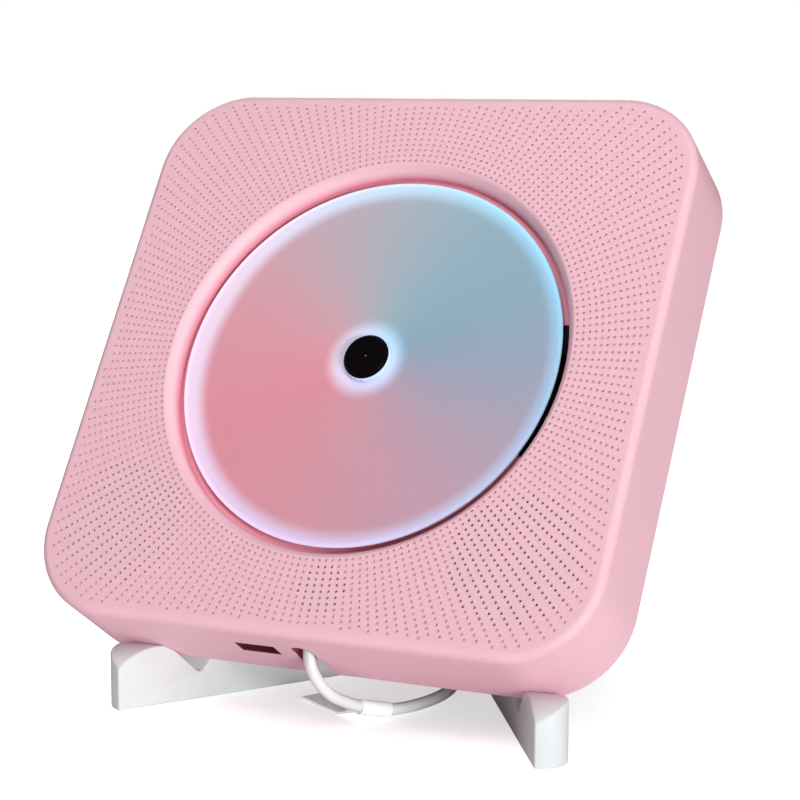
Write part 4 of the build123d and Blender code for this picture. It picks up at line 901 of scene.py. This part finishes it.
def usb_grip():
    """Moulded grip with a sunk panel above and below and a short tapered relief."""
    length, wide, high = [size * MM for size in GRIP]
    bpy.ops.mesh.primitive_cube_add(size=1.0, scale=(length, wide, high))
    grip = named("plug_grip")
    modified(grip, "BEVEL", width=1.5 * MM, segments=4, limit_method="ANGLE")
    for side in (-1, 1):
        edit(grip, "FACE")
        select_faces(grip, lambda face: face.normal.z * side > 0.999)
        bpy.ops.mesh.inset(thickness=1.6 * MM)
        bpy.ops.mesh.inset(thickness=0.25 * MM, depth=-0.3 * MM)
        done()
    bpy.ops.mesh.primitive_cone_add(vertices=32, radius1=(CORD_D / 2 + 0.2) * MM,
                                    radius2=(CORD_D / 2 + 1.4) * MM, depth=RELIEF * MM,
                                    location=(-length / 2 - RELIEF / 2 * MM, 0.0, 0.0),
                                    rotation=(0.0, math.pi / 2, 0.0))
    relief = named("plug_relief")
    modified(relief, "BEVEL", width=0.25 * MM, segments=2, limit_method="ANGLE",
             angle_limit=math.radians(50.0))
    pick(grip, relief)
    bpy.ops.object.join()
    smooth(grip, 35.0)
    place(grip, plug_frame() @ Matrix.Translation((length / 2 + RELIEF * MM, 0.0, 0.0)))
    return finished(grip, FINISHES["usb_plug"], "stand", "usb_plug", "usb_plug")


def usb_shell():
    """Folded metal end of the plug, with two locking windows."""
    length, wide, high = [size * MM for size in SHELL]
    bpy.ops.mesh.primitive_cube_add(size=1.0, scale=(length, wide, high))
    shell = named("plug_shell")
    edit(shell, "FACE")
    select_faces(shell, lambda face: face.normal.x > 0.9)
    bpy.ops.mesh.delete(type="FACE")
    done()
    modified(shell, "BEVEL", width=0.5 * MM, segments=3, limit_method="ANGLE")
    modified(shell, "SOLIDIFY", thickness=0.35 * MM, offset=-1.0)
    for side in (-1, 1):
        bpy.ops.mesh.primitive_cube_add(size=1.0, location=(0.6 * MM, side * 2.9 * MM, high / 2),
                                        scale=(2.3 * MM, 2.3 * MM, 1.6 * MM))
        cut(shell, named("window"))
    smooth(shell, 35.0)
    return shell


def usb_insert():
    """Insulating block in the metal end, with four plated contacts."""
    length, wide = [size * MM for size in SHELL[:2]]
    bpy.ops.mesh.primitive_cube_add(size=1.0, location=(-0.2 * MM, 0.0, -1.3 * MM),
                                    scale=(length - 1.2 * MM, wide - 0.9 * MM, 1.1 * MM))
    insert = named("plug_insert")
    modified(insert, "BEVEL", width=0.12 * MM, segments=2, limit_method="ANGLE")
    contacts = []
    for across, reach in CONTACTS:
        ahead = length / 2 - (1.0 + reach / 2) * MM
        bpy.ops.mesh.primitive_cube_add(size=1.0, location=(ahead, across * MM, -0.7 * MM),
                                        scale=(reach * MM, 1.0 * MM, 0.12 * MM))
        contacts.append(named("contact"))
        modified(contacts[-1], "BEVEL", width=0.04 * MM, segments=1, limit_method="ANGLE")
    pick(*contacts)
    bpy.ops.object.join()
    contacts[0].name = "plug_contacts"
    return insert, contacts[0]


def usb_end():
    """Metal end, insert and contacts, in place in front of the grip."""
    ahead = (RELIEF + GRIP[0] + SHELL[0] / 2 - SHELL_IN_GRIP) * MM
    place_at = plug_frame() @ Matrix.Translation((ahead, 0.0, 0.0))
    shell = place(usb_shell(), place_at)
    insert, contacts = [place(item, place_at) for item in usb_insert()]
    return [finished(shell, STEEL, "stand", "usb_plug"),
            finished(insert, FINISHES["socket_black"], "stand", "usb_plug"),
            finished(contacts, GOLD, "stand", "usb_plug")]


# ---------------------------------------------------------------- end of the shaft
SHAFT_R = 0.62
HUB_DIMPLE = -1.75              # the floor of the hub's dimple is this far from the face


def shaft_tip():
    """End of the spindle's shaft, seen in the hub's dimple."""
    bpy.ops.mesh.primitive_uv_sphere_add(segments=24, ring_count=12, radius=SHAFT_R * MM,
                                         location=(0.0, 0.0, HUB_DIMPLE * MM), scale=(1.0, 1.0, 0.55))
    tip = named("shaft_tip")
    smooth(tip, 60.0)
    place(tip, FACE)
    finished(tip, SHAFT_PAINTED_REFLECTION, "spindle", "hub")


# ---------------------------------------------------------------- the scene
camera()
cord([NODES["cord_plug"], paper_tag(), strap(), usb_grip(), *usb_end()])
studio()
for part in frame["record"]["subparts"]:
    surface = NODES[part["node"]].data
    surface.materials.clear()
    surface.materials.append(FINISHES[part["material_slot"]])
housing()
shaft_tip()
stand_plate("stand_leg_left", "stand_plate_left")
stand_plate("stand_leg_right", "stand_plate_right")
